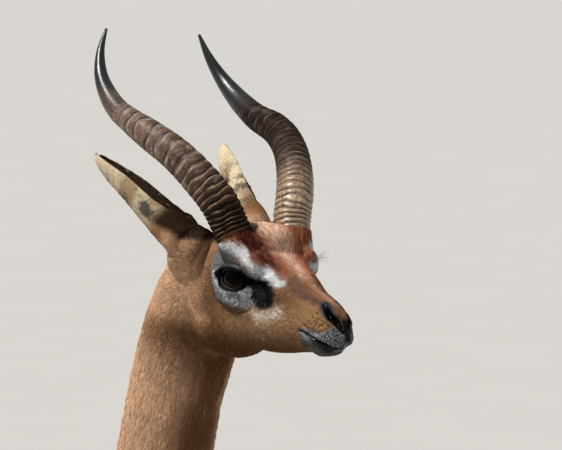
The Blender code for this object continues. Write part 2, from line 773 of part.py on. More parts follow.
def horn_rows():
    """Rows along a horn, spaced in step with its ridges, of point and radius for the left side."""
    steps = HORN_RIDGES * 2
    fine = smooth_rows(HORN, 400)
    rows = []
    for step in range(steps + 1):
        share = RIDGED_SHARE * (step / steps) ** RIDGE_CROWDING
        rows.append((share, step % 2 == 1 and step < steps))
    for share in np.linspace(RIDGED_SHARE, 1.0, 13)[1:]:
        rows.append((float(share), False))
    out = []
    for share, crest in rows:
        x, y, z, radius = fine[round(share * 399)]
        rise = RIDGE_DEPTH * (1.0 - 0.5 * share / RIDGED_SHARE) if crest else 0.0
        out.append((x, y, z, radius + rise))
    return out


def horn_solid(name, side, rows, sides=14, grow=0.0):
    """A horn of round sections along its rows, a little deeper fore and aft than across."""
    path = np.array([on_horn(row, side) for row in rows])
    along = np.gradient(path, axis=0)
    along /= np.linalg.norm(along, axis=1)[:, None]
    across = np.array([0.0, 1.0, 0.0])
    rings = []
    for point, forward, row in zip(path, along, rows):
        across = across - forward * np.dot(across, forward)
        across /= np.linalg.norm(across)
        over = np.cross(forward, across)
        radius = row[3] + grow
        deep, wide = radius * HORN_DEEP, radius * HORN_WIDE
        rings.append(oval(point, over, -over, across, deep, deep, wide, (2, 2), sides))
    return rings_to_object(name, rings)


def horn(side_name, side):
    made = horn_solid(f"horn_{side_name}", side, horn_rows())
    paint(made, (0.09, 0.06, 0.045), 0.4)
    return made


def horn_clearance(side):
    """The horn's foot grown by the gap, which clears its seat on the head."""
    rows = horn_rows()[:12]
    first, second = np.array(rows[0][:3]), np.array(rows[1][:3])
    back = first - (second - first) / np.linalg.norm(second - first) * GAP
    thickest = max(row[3] for row in rows)
    rows = [(*back, thickest), *((*row[:3], thickest) for row in rows[1:])]
    return horn_solid("horn_clearance", side, rows, grow=0.0006)


def ear_frame(side):
    """Points, ways along, ways of opening and ways across of an ear, at even shares of its line."""
    line = smooth_rows([on_head(p, side) for p in EAR_LINE[1:]], 13)
    line += np.linspace(0, 1, 13)[:, None] * EAR_LEAN[side] * [1, side, 1]
    along = np.gradient(line, axis=0)
    along /= np.linalg.norm(along, axis=1)[:, None]
    opening = np.array(EAR_OPENING[side])
    opening = opening - along * (along @ opening)[:, None]
    opening /= np.linalg.norm(opening, axis=1)[:, None]
    return line, along, opening, np.cross(along, opening)


def ear(side_name, side, sides=10):
    """A long leaf-shaped ear, curled to a tube at its root and opening to a trough."""
    line, _, opening, across = ear_frame(side)
    outer, inner = [], []
    for k, share in enumerate(np.linspace(0, 1, len(line))):
        radius, half_angle = values_at(EAR_CURL, share)
        for angle in np.radians(np.linspace(-half_angle, half_angle, sides)):
            edge = abs(angle) / math.radians(half_angle)
            thick = EAR_THICKNESS * (1 - 0.45 * edge**3) * min(1.0, 0.35 + radius / 0.012)
            for ring, offset in ((outer, thick / 2), (inner, -thick / 2)):
                reach = radius + offset
                ring.append(
                    line[k]
                    + opening[k] * (EAR_SWAY * (radius - EAR_CURL[0][1]) - reach * math.cos(angle))
                    + across[k] * reach * math.sin(angle)
                )
    count = len(line)
    total = count * sides
    points = outer + inner
    faces = []
    for row in range(count - 1):
        for k in range(sides - 1):
            low, high = row * sides + k, (row + 1) * sides + k
            faces.append((low, low + 1, high + 1, high))
            faces.append((total + low, total + high, total + high + 1, total + low + 1))
        for k in (0, sides - 1):
            low, high = row * sides + k, (row + 1) * sides + k
            faces.append((low, high, total + high, total + low))
    for row in (0, count - 1):
        for k in range(sides - 1):
            low = row * sides + k
            faces.append((low, low + 1, total + low + 1, total + low))
    made = new_object(f"ear_{side_name}", mesh_of("ear", points, faces))
    carve(made, ear_plug(side), "UNION")
    paint(made, (0.45, 0.34, 0.24), 0.85)
    return largest_only(made)


def ear_plug(side):
    """The solid foot of an ear, which closes the bottom of its cup."""
    line = ear_frame(side)[0]
    radius = EAR_CURL[0][1] + EAR_THICKNESS / 2
    shares = (1.0, 1.0, 0.8)
    rows = [(*point, radius * share) for point, share in zip(line, shares)]
    return round_tube("ear_plug", rows, 6, 24)


def ear_clearance(side):
    """The space of an ear's foot, which leaves a flat seat on the head a gap below it."""
    line, along, _, _ = ear_frame(side)
    radius = EAR_CURL[0][1] + EAR_THICKNESS / 2 + 2 * GAP
    rows = [(*(line[0] - along[0] * GAP), radius)]
    for k, share in ((1, 1.07), (2, 1.18), (3, 1.28), (5, 1.3)):
        rows.append((*line[k], radius * share))
    return round_tube("ear_clearance", rows, 12, 24)


def eye_frame(side):
    aim = Vector((EYE_AIM[0], EYE_AIM[1] * side, EYE_AIM[2])).normalized()
    ahead = Vector((0, 0, 1)).cross(aim).normalized() * -side
    up = Vector((0, 0, 1)) - aim * aim.z
    up.normalize()
    tilt = math.radians(EYE_TILT)
    long_axis = ahead * math.cos(tilt) - up * math.sin(tilt)
    short_axis = up * math.cos(tilt) + ahead * math.sin(tilt)
    return Vector(on_head(EYE_CENTRE, side)), aim, long_axis, short_axis


def eyeball(name, side, radius, segments=18):
    centre = on_head(EYE_CENTRE, side)
    shape = bmesh.new()
    place = Matrix.Translation(centre)
    rows = segments // 2 + 2
    bmesh.ops.create_uvsphere(shape, u_segments=segments, v_segments=rows, radius=radius, matrix=place)
    mesh = bpy.data.meshes.new(name)
    shape.to_mesh(mesh)
    shape.free()
    made = new_object(name, mesh)
    paint(made, (0.02, 0.015, 0.012), 0.08)
    return made


def lid_opening(side, points=22):
    """An almond-shaped plug that opens the lids in front of the eyeball."""
    centre, aim, long_axis, short_axis = eye_frame(side)
    half, upper, lower = EYE_OPENING
    rings = []
    for depth, grow in ((0.35, 0.92), (1.0, 1.0), (1.6, 1.16)):
        ring = []
        for k in range(points):
            angle = 2 * math.pi * k / points
            height = upper if math.sin(angle) > 0 else lower
            lift = math.copysign(abs(math.sin(angle)) ** 1.15, math.sin(angle)) * height
            place = centre + aim * depth * EYE_RADIUS
            ring.append(np.array(place + (long_axis * math.cos(angle) * half + short_axis * lift) * grow))
        rings.append(ring)
    return rings_to_object("lid_opening", rings)


def mouth_cut():
    """A thin wedge along the lips, round the front of the muzzle."""
    left = smooth_rows([on_head(p, LEFT) for p in MOUTH_LINE], 12)
    right = left[::-1][1:] * [1, -1, 1]
    path = np.vstack([left, right])
    along = np.gradient(path, axis=0)
    rings = []
    up = np.array([0.0, 0.0, 1.0])
    for k, (point, way) in enumerate(zip(path, along)):
        out = np.cross(up, way)
        out /= np.linalg.norm(out)
        open_by = MOUTH_OPEN if 1 < k < len(path) - 2 else MOUTH_OPEN / 2
        outer, inner = point + out * MOUTH_DEPTH * 1.4, point - out * MOUTH_DEPTH
        rings.append([outer + up * open_by, outer - up * open_by, inner - up * GAP, inner + up * GAP])
    return rings_to_object("mouth_cut", rings)


def nostril_cut(side):
    rows = [(*on_head(row[:3], side), row[3]) for row in NOSTRIL]
    return round_tube("nostril_cut", rows, 9, 8)


def leg_region(which, side, grow=0.0):
    """A block round one leg below the trunk, its top slanted where the leg joins it."""
    (rear, rear_top), (front, front_top), (front_foot, _), (rear_foot, _) = LEG_REGION[which]
    outline = (
        (rear - grow, rear_top + grow),
        (front + grow, front_top + grow),
        (front_foot + grow, REGION_FLOOR),
        (rear_foot - grow, REGION_FLOOR),
    )
    rings = []
    for out in (LEG_INSIDE[which] - grow, 0.20 + grow):
        rings.append([(x, out * side, z) for x, z in outline])
    faces = [(0, 1, 2, 3), (7, 6, 5, 4)]
    faces += [(k, k + 4, (k + 1) % 4 + 4, (k + 1) % 4) for k in range(4)]
    return new_object("leg_region", mesh_of("leg_region", rings[0] + rings[1], faces))


def tail_locks(tail):
    """The dark brush of long hair at the tail's end: flat, tapered locks that hang and overlap."""
    drift = np.random.default_rng(5)
    pieces = [tail]
    for k in range(TAIL_LOCKS):
        angle = 2.4 * k
        start_share = 0.52 + 0.44 * k / TAIL_LOCKS
        x, z, _, _, radius = [float(v) for v in smooth_tail(start_share)]
        out = Vector((math.cos(angle), math.sin(angle), 0.0))
        across = Vector((-math.sin(angle), math.cos(angle), 0.0))
        length = TAIL_LOCK_LENGTH * drift.uniform(0.85, 1.15)
        width = TAIL_LOCK_WIDTH * drift.uniform(0.85, 1.15)
        swing = TAIL_LOCK_SWING * drift.uniform(-0.5, 0.5)
        rings = []
        for share, spread, half, thick in TAIL_LOCK_ROWS:
            centre = Vector((x, 0, z)) + out * (radius * spread + TAIL_LOCK_FLARE * math.sin(2 * share))
            centre += across * swing * share
            centre.z -= length * share
            wide, deep = across * width * half, out * TAIL_LOCK_THICKNESS * thick
            rings.append([np.array(centre + reach) for reach in (wide, deep, -wide, -deep)])
        pieces.append(rings_to_object("lock", rings))
    return largest_only(joined("tail", pieces))


def smooth_tail(share):
    """Place and radii of the tail at a share of its length."""
    rows = smooth_rows([(x, z, 0.0, front, side) for x, z, front, _, side in TAIL], 101)
    return rows[round(share * 100)]


def body_nodes():
    """The neck, torso, tail and legs, parted from one body."""
    pieces = [trunk(), neck(), tail_tube(), *head_pieces()]
    for side in SIDES.values():
        pieces += front_leg(side) + hind_leg(side)
    body = thin_out(fused("body", pieces, BODY_VOXEL, RELAX_ROUNDS), BODY_FACES)
    made = []
    torso = copy_of(body, "torso")
    for which in ("front", "hind"):
        for side_name, side in SIDES.items():
            leg = copy_of(body, f"leg_{which}_{side_name}")
            carve(leg, leg_region(which, side), "INTERSECT")
            carve(leg, half_space("above", coronet_plane(which, side, GAP)), "INTERSECT")
            carve(torso, leg_region(which, side, GAP), "DIFFERENCE")
            made.append(largest_only(leg))
    carve(torso, half_space("ahead", NECK_CUT, -GAP), "DIFFERENCE")
    carve(torso, half_space("behind", TAIL_CUT, -GAP), "DIFFERENCE")
    made.append(largest_only(torso))
    neck_node = copy_of(body, "neck")
    carve(neck_node, half_space("ahead", NECK_CUT), "INTERSECT")
    carve(neck_node, half_space("head", HEAD_CUT, -GAP), "DIFFERENCE")
    made.append(largest_only(neck_node))
    tail = copy_of(body, "tail_root")
    carve(tail, half_space("behind", TAIL_CUT), "INTERSECT")
    carve(tail, half_space("high", (Vector((-0.8, 0, 0.6)), Vector((0, 0, 1)))), "INTERSECT")
    made.append(tail_locks(largest_only(tail)))
    remove(body)
    return made


def head_node():
    """The head, with its lids, nostrils and mouth line cut, and seats for horns, ears and eyes."""
    head = fused("head", [*head_pieces(), neck()], HEAD_VOXEL, RELAX_ROUNDS)
    thin_out(head, NECK_AND_HEAD_FACES)
    carve(head, half_space("head_side", HEAD_CUT), "INTERSECT")
    largest_only(head)
    for side in SIDES.values():
        carve(head, lid_opening(side), "DIFFERENCE")
        carve(head, eyeball("socket", side, EYE_RADIUS + GAP), "DIFFERENCE")
        carve(head, horn_clearance(side), "DIFFERENCE")
        carve(head, ear_clearance(side), "DIFFERENCE")
        carve(head, nostril_cut(side), "DIFFERENCE")
    carve(head, mouth_cut(), "DIFFERENCE")
    return largest_only(head)


def centre_on_floor(nodes):
    """Moves everything so that the box round the part is centred on the origin and stands on z = 0."""
    corners = np.array([np.array(vertex.co) for node in nodes for vertex in node.data.vertices])
    low, high = corners.min(axis=0), corners.max(axis=0)
    shift = Matrix.Translation((-(low[0] + high[0]) / 2, -(low[1] + high[1]) / 2, -low[2]))
    for node in nodes:
        node.data.transform(shift)
    return shift


def main():
    for old in list(bpy.data.objects):
        bpy.data.objects.remove(old)
    nodes = [*body_nodes(), head_node()]
    for side_name, side in SIDES.items():
        nodes.append(horn(side_name, side))
        nodes.append(ear(side_name, side))
        nodes.append(eyeball(f"eye_{side_name}", side, EYE_RADIUS))
        for which in ("front", "hind"):
            for half in (1, -1):
                nodes.append(claw(which, side, half))
    for node in nodes:
        node.data.shade_smooth()
    centre_on_floor(nodes)
    return nodes


main()
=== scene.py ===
"""Looks of the standing male gerenuk: skin, short coat, ringed horns, ears, eyes, hooves and tail brush.

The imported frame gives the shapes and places. Lengths are metres. Marks on the head are given in its own
frame, which has its origin midway between the eyes, for the left side, and are mirrored to the right.
"""

import math
from contextlib import contextmanager

import bmesh
import bpy
import numpy as np
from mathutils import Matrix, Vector
from mathutils.bvhtree import BVHTree


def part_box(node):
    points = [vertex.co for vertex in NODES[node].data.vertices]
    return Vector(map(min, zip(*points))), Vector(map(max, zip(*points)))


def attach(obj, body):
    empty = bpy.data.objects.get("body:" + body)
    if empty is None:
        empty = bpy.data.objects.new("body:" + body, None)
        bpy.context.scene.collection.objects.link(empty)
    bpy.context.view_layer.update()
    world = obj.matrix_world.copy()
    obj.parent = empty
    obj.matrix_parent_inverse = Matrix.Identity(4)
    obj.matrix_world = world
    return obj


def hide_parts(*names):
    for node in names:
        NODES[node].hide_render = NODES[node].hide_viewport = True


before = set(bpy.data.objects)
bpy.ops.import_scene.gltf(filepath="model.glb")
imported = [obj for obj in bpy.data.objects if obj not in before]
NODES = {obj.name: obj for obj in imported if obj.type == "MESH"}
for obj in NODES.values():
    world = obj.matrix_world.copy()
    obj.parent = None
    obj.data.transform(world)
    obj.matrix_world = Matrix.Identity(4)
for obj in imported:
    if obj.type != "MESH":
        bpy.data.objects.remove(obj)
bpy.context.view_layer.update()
LEFT, RIGHT = 1, -1
SIDES = {"left": LEFT, "right": RIGHT}
FEET = [(which, side) for which in ("front", "hind") for side in SIDES]


def node_centre(node):
    low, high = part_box(node)
    return (Vector(low) + Vector(high)) / 2


def millimetres(*rows):
    """Rows of lengths given in millimetres, in metres."""
    return np.array(rows) / 1000


# Places, worked out from the eyes
EYE_CENTRE = Vector((-0.0060, 0.0273, -0.0010))
EYE_RADIUS = (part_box("eye_left")[1][0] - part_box("eye_left")[0][0]) / 2
HEAD = (node_centre("eye_left") + node_centre("eye_right")) / 2 - Vector((EYE_CENTRE.x, 0, EYE_CENTRE.z))
# The withers are above this point of the floor
WITHERS = Vector((HEAD.x - 0.455, 0.0, 0.0))

# Camera: the photograph's angle and framing on the head
CAMERA_AZIMUTH = 56
CAMERA_ELEVATION = 5
CAMERA_DISTANCE = 5.0
VIEW_WIDTH = 0.551
AIM_RIGHT = 0.01225
AIM_UP = 0.0512
SENSOR = 36.0

# Skin
HEAD_VOXEL = 0.0015
BODY_VOXEL = 0.0040
SKIN_GROW = 0.00035
HEAD_DEPTH = 0.0010
BODY_DEPTH = 0.0022
JOIN_TOP = Vector((-0.105, 0.0, -0.120))
JOIN_AXIS = Vector((0.45, 0.0, 0.89)).normalized()
JOIN_BAND = 0.020

# Eye
EYE_AIM = (0.40, 0.91, 0.04)
EYE_OPENING = (0.0174, 0.0112, 0.0098)
EYE_TILT = 14
LID_THICKNESS = 0.0024

# Horn centreline on the left: ahead, out and above the middle between the eyes, with the radius there
HORN = (
    (-0.0085, 0.0335, 0.04, 0.0188), (-0.0135, 0.0365, 0.052, 0.019), (-0.02, 0.044, 0.0725, 0.0192),
    (-0.0385, 0.057, 0.0985, 0.0184), (-0.061, 0.0675, 0.119, 0.0172), (-0.0945, 0.0765, 0.137, 0.0155),
    (-0.1305, 0.0755, 0.1485, 0.013), (-0.171, 0.0755, 0.1665, 0.0103), (-0.1945, 0.0715, 0.1865, 0.0071),
    (-0.206, 0.0645, 0.207, 0.0043), (-0.2095, 0.0555, 0.229, 0.0014),
)
# The tips and bends of the two horns differ a little
TIP_LIFT = {LEFT: -0.001, RIGHT: 0.008}
TIP_LIFT_FROM = -0.150
TIP_LIFT_REACH = 0.055
BEND_LEAN = {LEFT: -0.0045, RIGHT: 0.0}
BEND_AT = -0.115
BEND_REACH = 0.045
RIDGED_SHARE = 0.66
# Rings counted from the base, by share of the horn's length
RIDGE_COUNT = {
    RIGHT: (
        (0.0, 0.0), (0.04, 2.3), (0.12, 6.6), (0.20, 10.3), (0.28, 12.6), (0.40, 15.1), (0.66, 20.0),
        (1.0, 26.0),
    ),
    LEFT: ((0.0, 0.0), (0.10, 5.5), (0.25, 13.0), (0.40, 19.5), (0.50, 23.0), (0.66, 27.0), (1.0, 34.0)),
}
RIDGE_DEPTH = 0.0028
# Screen colour of the horn, by share of its length. The sides differ by painted light: the left horn's base
# is paler, partly painted highlights, the right horn's base darker with painted shadow and its middle lighter
# with painted highlights
HORN_TINT_AND_LIGHT = {
    RIGHT: (
        (0.00, 28, 22, 17), (0.10, 34, 27, 21), (0.20, 74, 56, 43), (0.30, 92, 71, 56),
        (0.45, 112, 90, 74), (0.62, 112, 92, 78), (0.80, 84, 66, 54), (1.00, 60, 50, 44),
    ),
    LEFT: (
        (0.00, 150, 124, 98), (0.10, 176, 150, 121), (0.17, 148, 120, 96), (0.25, 66, 48, 38),
        (0.38, 40, 29, 24), (0.52, 32, 24, 20), (0.66, 26, 20, 18), (1.00, 22, 20, 20),
    ),
}

# Ear: base, middle and tip of its axis
EAR_LINE = (
    (-0.088, 0.0422, 0.0338), (-0.132, 0.059, 0.079), (-0.1845, 0.0755, 0.118),
)
EAR_ROOT = (-0.0740, 0.0300, 0.0215)
EAR_LEAN = {LEFT: (0.0, 0.0035, -0.0025), RIGHT: (0.0, 0.0, 0.0)}
EAR_SLEEVE = 0.13
# Share along the ear, radius of its curl and half the curl's angle
EAR_CURL = (
    (0, 0.0185, 172), (0.1, 0.02, 150), (0.2, 0.021, 120), (0.32, 0.0215, 106), (0.45, 0.021, 99),
    (0.62, 0.02, 94), (0.78, 0.018, 86), (0.9, 0.014, 80), (0.97, 0.009, 74), (1, 0.004, 70),
)
EAR_SWAY = 0.35
EAR_THICKNESS = 0.0032
EAR_OPENING = {LEFT: (0.53, 0.73, 0.40), RIGHT: (0.54, 0.43, 0.71)}

# Tail: ahead of the withers, height and radius
TAIL = (
    (-0.7, 0.88, 0.016), (-0.72, 0.868, 0.0155), (-0.743, 0.83, 0.0125), (-0.753, 0.78, 0.0105),
    (-0.757, 0.725, 0.0092), (-0.757, 0.67, 0.0085), (-0.756, 0.64, 0.006),
)
BRUSH_LOCKS = 420
BRUSH_LENGTH = 0.085

# Coat: tufts a square metre by region, and how wide and how raised a tuft is for its length
COAT_DENSITY = {"coat_head": 1050000, "coat_neck": 300000, "coat_legs": 160000, "coat_trunk": 100000}
EAR_DENSITY = 430000.0
TUFTS_A_PIECE = 48000
TUFT_WIDTH = 0.10
TUFT_LIFT = 0.07
# Some tufts stand out: their share of all, and how much longer, wider and higher they are
BOLD_SHARE = 0.16
BOLD_LENGTH, BOLD_WIDTH, BOLD_LIFT = 1.25, 2.3, 1.7
# How far the shade of plain and of bold tufts varies
SHADE_SPREAD, BOLD_SPREAD = 0.17, 0.25
# Shades of the coat in large, middling and small spots: how strong, their size and the seed of the noise
COAT_SHADES = ((0.07, 0.040, 9), (0.06, 0.013, 12), (0.10, 0.0042, 13))
# Painted shade and light at the four corners of a tuft, darker at the root and lighter at the tip: twice its
# root, its ridge and its tip
TUFT_SHADE_AND_LIGHT = (0.50, 0.50, 1.0, 1.22)

# Mouth line and nostril of one side
MOUTH_LINE = (
    (0.083, 0.023, -0.044), (0.1, 0.0205, -0.0482), (0.11, 0.019, -0.0523), (0.119, 0.015, -0.0563),
    (0.1228, 0.0085, -0.0583), (0.1235, 0, -0.059),
)
NOSTRIL = (
    (0.11, 0.0085, -0.0188), (0.117, 0.0105, -0.023), (0.1235, 0.0108, -0.028), (0.129, 0.0088, -0.0325),
    (0.1335, 0.006, -0.037), (0.1365, 0.0038, -0.0402),
)

# Creases and soft forms of the face: path, width, and depth inwards or height outwards
CREASES = (
    (MOUTH_LINE, 0.0013, 0.004),
    (NOSTRIL, 0.0023, 0.006),
    (((-0.033, 0.039, -0.023), (-0.0224, 0.0365, -0.0309), (-0.008, 0.0347, -0.0351)), 0.0013, 0.0012),
    (((-0.008, 0.0347, -0.0351), (0.0097, 0.0351, -0.0318), (0.0225, 0.035, -0.0259)), 0.0013, 0.0012),
    (((-0.04, 0.04, 0.006), (-0.026, 0.045, 0.015), (-0.004, 0.047, 0.0175)), 0.0016, 0.0014),
    (((-0.004, 0.047, 0.0175), (0.014, 0.046, 0.015), (0.025, 0.041, 0.008)), 0.0016, 0.0014),
    (((0.055, 0.028, -0.019), (0.058, 0.027, -0.024), (0.063, 0.026, -0.026)), 0.0009, 0.0008),
    (((0.052, 0.028, -0.026), (0.056, 0.027, -0.03), (0.06, 0.026, -0.031)), 0.0009, 0.0007),
    (((0.088, 0.021, -0.036), (0.1, 0.02, -0.041), (0.112, 0.019, -0.044)), 0.001, 0.0008),
    (((0.024, 0.038, 0.001), (0.031, 0.034, -0.001), (0.038, 0.03, -0.004)), 0.0024, 0.0016),
    (((0.0375, 0.03, -0.004), (0.0385, 0.03, -0.0048), (0.0395, 0.03, -0.0056)), 0.0036, 0.0036),
)
SWELLINGS = (
    (((0.112, 0.006, -0.0165), (0.121, 0.007, -0.023), (0.13, 0.004, -0.029)), 0.0034, 0.0011),
    (((0.112, 0.015, -0.026), (0.12, 0.015, -0.031), (0.128, 0.012, -0.037)), 0.003, 0.0009),
    (((0.09, 0.0215, -0.05), (0.108, 0.0185, -0.057), (0.12, 0.011, -0.062)), 0.0034, 0.0012),
    (((0.096, 0.0215, -0.044), (0.108, 0.019, -0.048), (0.122, 0.014, -0.052)), 0.003, 0.001),
    (((0.034, 0.033, -0.015), (0.042, 0.031, -0.019), (0.05, 0.029, -0.015)), 0.005, 0.001),
)
# Healed scar on the right of the neck
SCAR = (
    (-0.1083, -0.03, -0.1131), (-0.106, -0.024, -0.122), (-0.1027, -0.0146, -0.1296),
)

# Outlines and lines on the side of the head, ahead of and above the middle between the eyes
WHITE_BAND = millimetres(
    (-14, 33), (-8.1, 35.4), (5.6, 37.4), (12.1, 34.1), (22, 25.2), (31.4, 16.4), (36.4, 12.6), (47.5, 6.2),
    (56.9, 0.2), (59.2, -2.6), (51.6, -3.8), (39.1, -1.1), (30.3, 5.6), (24.2, 13), (14.6, 21.8),
    (3.5, 28.5), (-5, 31),
)
EYE_RING = millimetres(
    (-44.8, 17.5), (-45.3, 5.6), (-40.5, -5.9), (-36.1, -17.6), (-28.3, -27.8), (-12.9, -33.7),
    (2.8, -33.6), (18.6, -27.4), (24.5, -24.5), (33, -15), (40, -4), (30.3, 4.4), (24.2, 11.4),
    (14.6, 19.1), (5.6, 38), (-1, 38.5), (-15, 34.5), (-33.5, 27.9), (-41.5, 23.5),
)
EYE_BLACK = millimetres(
    (-38.9, 2.6), (-30, 7.8), (-18, 10.8), (-6, 11.8), (8, 12.4), (19.7, 11.4), (24.6, 4.8), (29, 1),
    (26.6, -2.6), (19, -5.5), (9.9, -7.6), (2.6, -11.2), (-6, -11), (-13.2, -8.6), (-25, -4.5), (-34, -0.8),
)
GLAND = millimetres(
    (28, 1.2), (31.6, 2.2), (38.5, 1.8), (48, -4), (52.9, -10.6), (52.2, -18), (49, -23.5), (40.2, -27),
    (33, -26.2), (27.9, -24.3), (22.4, -17.5), (24.5, -10.2), (22.1, -3.3),
)
PALE_PATCH = millimetres(
    (20.2, -33), (22.8, -30), (38.7, -30), (48, -26.5), (59, -25), (60, -30), (50, -34.5), (38, -37),
    (24, -39),
)
UPPER_LIP = millimetres(
    (88, -43.5), (96, -40.9), (104, -42.5), (111.1, -44.4), (119, -44), (124, -40.5), (129, -37),
    (132, -34.7), (145, -34.7), (145, -64), (124, -64), (121, -57.5), (110, -52.3), (100, -48.2),
)
CHIN = millimetres(
    (83.2, -44.5), (100, -48.2), (110, -52.3), (119, -56.3), (123.5, -59), (130, -72), (90, -82),
    (74.7, -66.2), (80.5, -58.5), (82.8, -48.6),
)
BROW_LINE = millimetres(
    (-100, 34), (-60, 36), (-30, 35.5), (-8.1, 35.4), (5.6, 37.4), (12.1, 34.1), (22, 25.2), (31.4, 16.4),
    (36.4, 12.6), (47.5, 6.2), (56.9, 0), (72, -6), (88, -12), (110, -20.5), (130, -32),
)
NOSE_STRIPE = millimetres(
    (62, 3), (70, -3.5), (78.6, -8.5), (89.3, -12.2), (98, -13.5), (109, -17.5),
)
LID_LINE = millimetres(
    (-40, 5), (-38.5, -1), (-30, -8.6), (-18, -11.8), (-6.2, -12.8), (6, -12.2),
)
BAND_CORE = millimetres(
    (-8, 34.5), (7.5, 34.5), (20, 23.2), (30.1, 13.8), (37.2, 7.4), (50.2, 1.4), (56.5, -1.2),
)
# Seen from above, ahead and out: the chestnut patch, partly painted shadow of the horn; the white brow's
# inner end; the edge of the pale stripe, partly painted sheen
CHESTNUT_SHADOW_PATCH = millimetres(
    (-5, 50), (10.3, 43.5), (18, 40.5), (21.3, 38.5), (29.7, 35), (36, 24.5), (46.2, 16.9), (33.2, 15),
    (21.4, 16.5), (10, 17.5), (0, 18),
)
BROW_REACH = millimetres((-10, 42), (8, 40), (20, 36), (30, 31), (36.5, 21.5), (50, 17.5), (60, 16))
STRIPE_HALF = millimetres((8, 15.5), (23, 11.2), (35, 6), (52, 5), (66, 5.8))
# Lines laid on the skin of the head once it is there
DRAWN = {}


def srgb(red, green, blue):
    """A linear colour from screen values of 0 to 255."""
    shares = np.array([red, green, blue]) / 255.0
    return np.where(shares > 0.04045, ((shares + 0.055) / 1.055) ** 2.4, shares / 12.92)


# Coat colours
NECK_BROWN = srgb(190, 150, 119)
# Painted shade for the front of the neck
NECK_PAINTED_SHADE = srgb(98, 66, 42)
CHEEK_BROWN = srgb(132, 98, 70)
# Painted pool of light low on the cheek, also used for the pale area below the gland
CHEEK_LIT_AND_PALE = srgb(166, 130, 98)
# Painted shade on the muzzle below the nose, towards the nose tip and behind the eye ring
CHEEK_PAINTED_SHADE = srgb(96, 68, 48)
# Painted shade under the jaw and throat and behind the cheek
JAW_PAINTED_SHADE = srgb(84, 52, 30)
RUFOUS = srgb(126, 74, 52)
# Chestnut of the forehead patch, darkened by painted horn shadow
CHESTNUT_AND_SHADOW = srgb(72, 26, 15)
# Pale tan of the forehead stripe and nose ridge, with painted sheen and highlight
TAN_AND_SHEEN = srgb(208, 172, 147)
NOSE_ORANGE = srgb(122, 80, 55)
WHITE = srgb(200, 201, 202)
GREY = srgb(122, 122, 119)
DARK_GREY = srgb(66, 66, 65)
PALE_GREY = srgb(186, 188, 190)
EYE_GREY = srgb(118, 122, 128)
POUCH = srgb(92, 74, 58)
BLUE_BLACK = srgb(20, 22, 26)
BLACK = srgb(6, 5, 6)
PALE_TAN = srgb(238, 220, 203)
NOSE_GREY = srgb(72, 59, 55)
MUZZLE_GOLD = srgb(144, 111, 75)
LIP_GREY = srgb(164, 170, 175)
CHIN_GREY = srgb(96, 91, 84)
RIM_BLUE = srgb(50, 54, 64)
SADDLE = srgb(122, 82, 56)
FLANK = srgb(176, 138, 103)
CREAM = srgb(220, 208, 190)
KNEE_DARK = srgb(62, 44, 34)
BRUSH_BLACK = srgb(26, 21, 20)
EAR_SAND = srgb(192, 176, 148)
EAR_DARK = srgb(48, 46, 46)
EAR_ORANGE = srgb(140, 98, 64)
# Painted shade inside the ears and down the right ear's hollow to the horn
EAR_INSIDE_PAINTED_SHADE = srgb(46, 33, 23)


# Arrays and curves


def smooth_rows(rows, count):
    """Rows on a smooth curve through the given ones, evenly spaced by their first three columns."""
    rows = np.asarray(rows, float)
    steps = np.linalg.norm(np.diff(rows[:, :3], axis=0), axis=1)
    knots = np.concatenate([[0.0], np.cumsum(steps)])
    slopes = np.gradient(rows, knots, axis=0)
    places = np.linspace(0.0, knots[-1], count)
    span = np.clip(np.searchsorted(knots, places, side="right") - 1, 0, len(rows) - 2)
    width = (knots[span + 1] - knots[span])[:, None]
    t = (places[:, None] - knots[span][:, None]) / width
    start = rows[span] * (2 * t**3 - 3 * t**2 + 1) + slopes[span] * width * (t**3 - 2 * t**2 + t)
    end = rows[span + 1] * (3 * t**2 - 2 * t**3) + slopes[span + 1] * width * (t**3 - t**2)
    return start + end


def unit(vectors):
    return vectors / np.maximum(np.linalg.norm(vectors, axis=-1, keepdims=True), 1e-12)


def table_at(table, shares):
    """The table's other columns, read at shares of its first column."""
    table = np.asarray(table, float)
    return [np.interp(shares, table[:, 0], column) for column in table.T[1:]]


def ramp(value, low, high):
    """0 below low, 1 above high, smooth between; low may be above high."""
    t = np.clip((value - low) / (high - low), 0.0, 1.0)
    return t * t * (3 - 2 * t)


def path_distance(points, path):
    """Distance of points to a line of straight stretches, and the share along it."""
    path = np.asarray(path, float)
    best = np.full(len(points), 1e9)
    share = np.zeros(len(points))
    stretches = len(path) - 1
    for k in range(stretches):
        start, step = path[k], path[k + 1] - path[k]
        t = np.clip((points - start) @ step / (step @ step), 0, 1)
        distance = np.linalg.norm(points - start - t[:, None] * step, axis=1)
        nearer = distance < best
        best = np.where(nearer, distance, best)
        share = np.where(nearer, (k + t) / stretches, share)
    return best, share


def wobble(points, size, seed=0):
    """Smooth noise from -1 to 1 with features of about that size, from a few crossed waves."""
    draw = np.random.default_rng(seed)
    total = np.zeros(len(points))
    for _ in range(7):
        way = draw.normal(size=3)
        way /= np.linalg.norm(way)
        turn = 2 * math.pi / (size * draw.uniform(0.7, 1.6))
        total += np.sin(points @ way * turn + draw.uniform(0, 2 * math.pi))
    return total / 4.2


def drift(points, size, seed):
    """Smooth noise along each of the three axes."""
    return np.stack([wobble(points, size, seed + axis) for axis in range(3)], axis=1)


def turns(count):
    """Angles evenly spaced round a circle."""
    return np.linspace(0, 2 * math.pi, count, endpoint=False)


def tapered(share):
    """1 in the middle of a line, falling to 0 at its ends."""
    return ramp(share, 0, 0.2) * ramp(share, 1, 0.8)


# Meshes


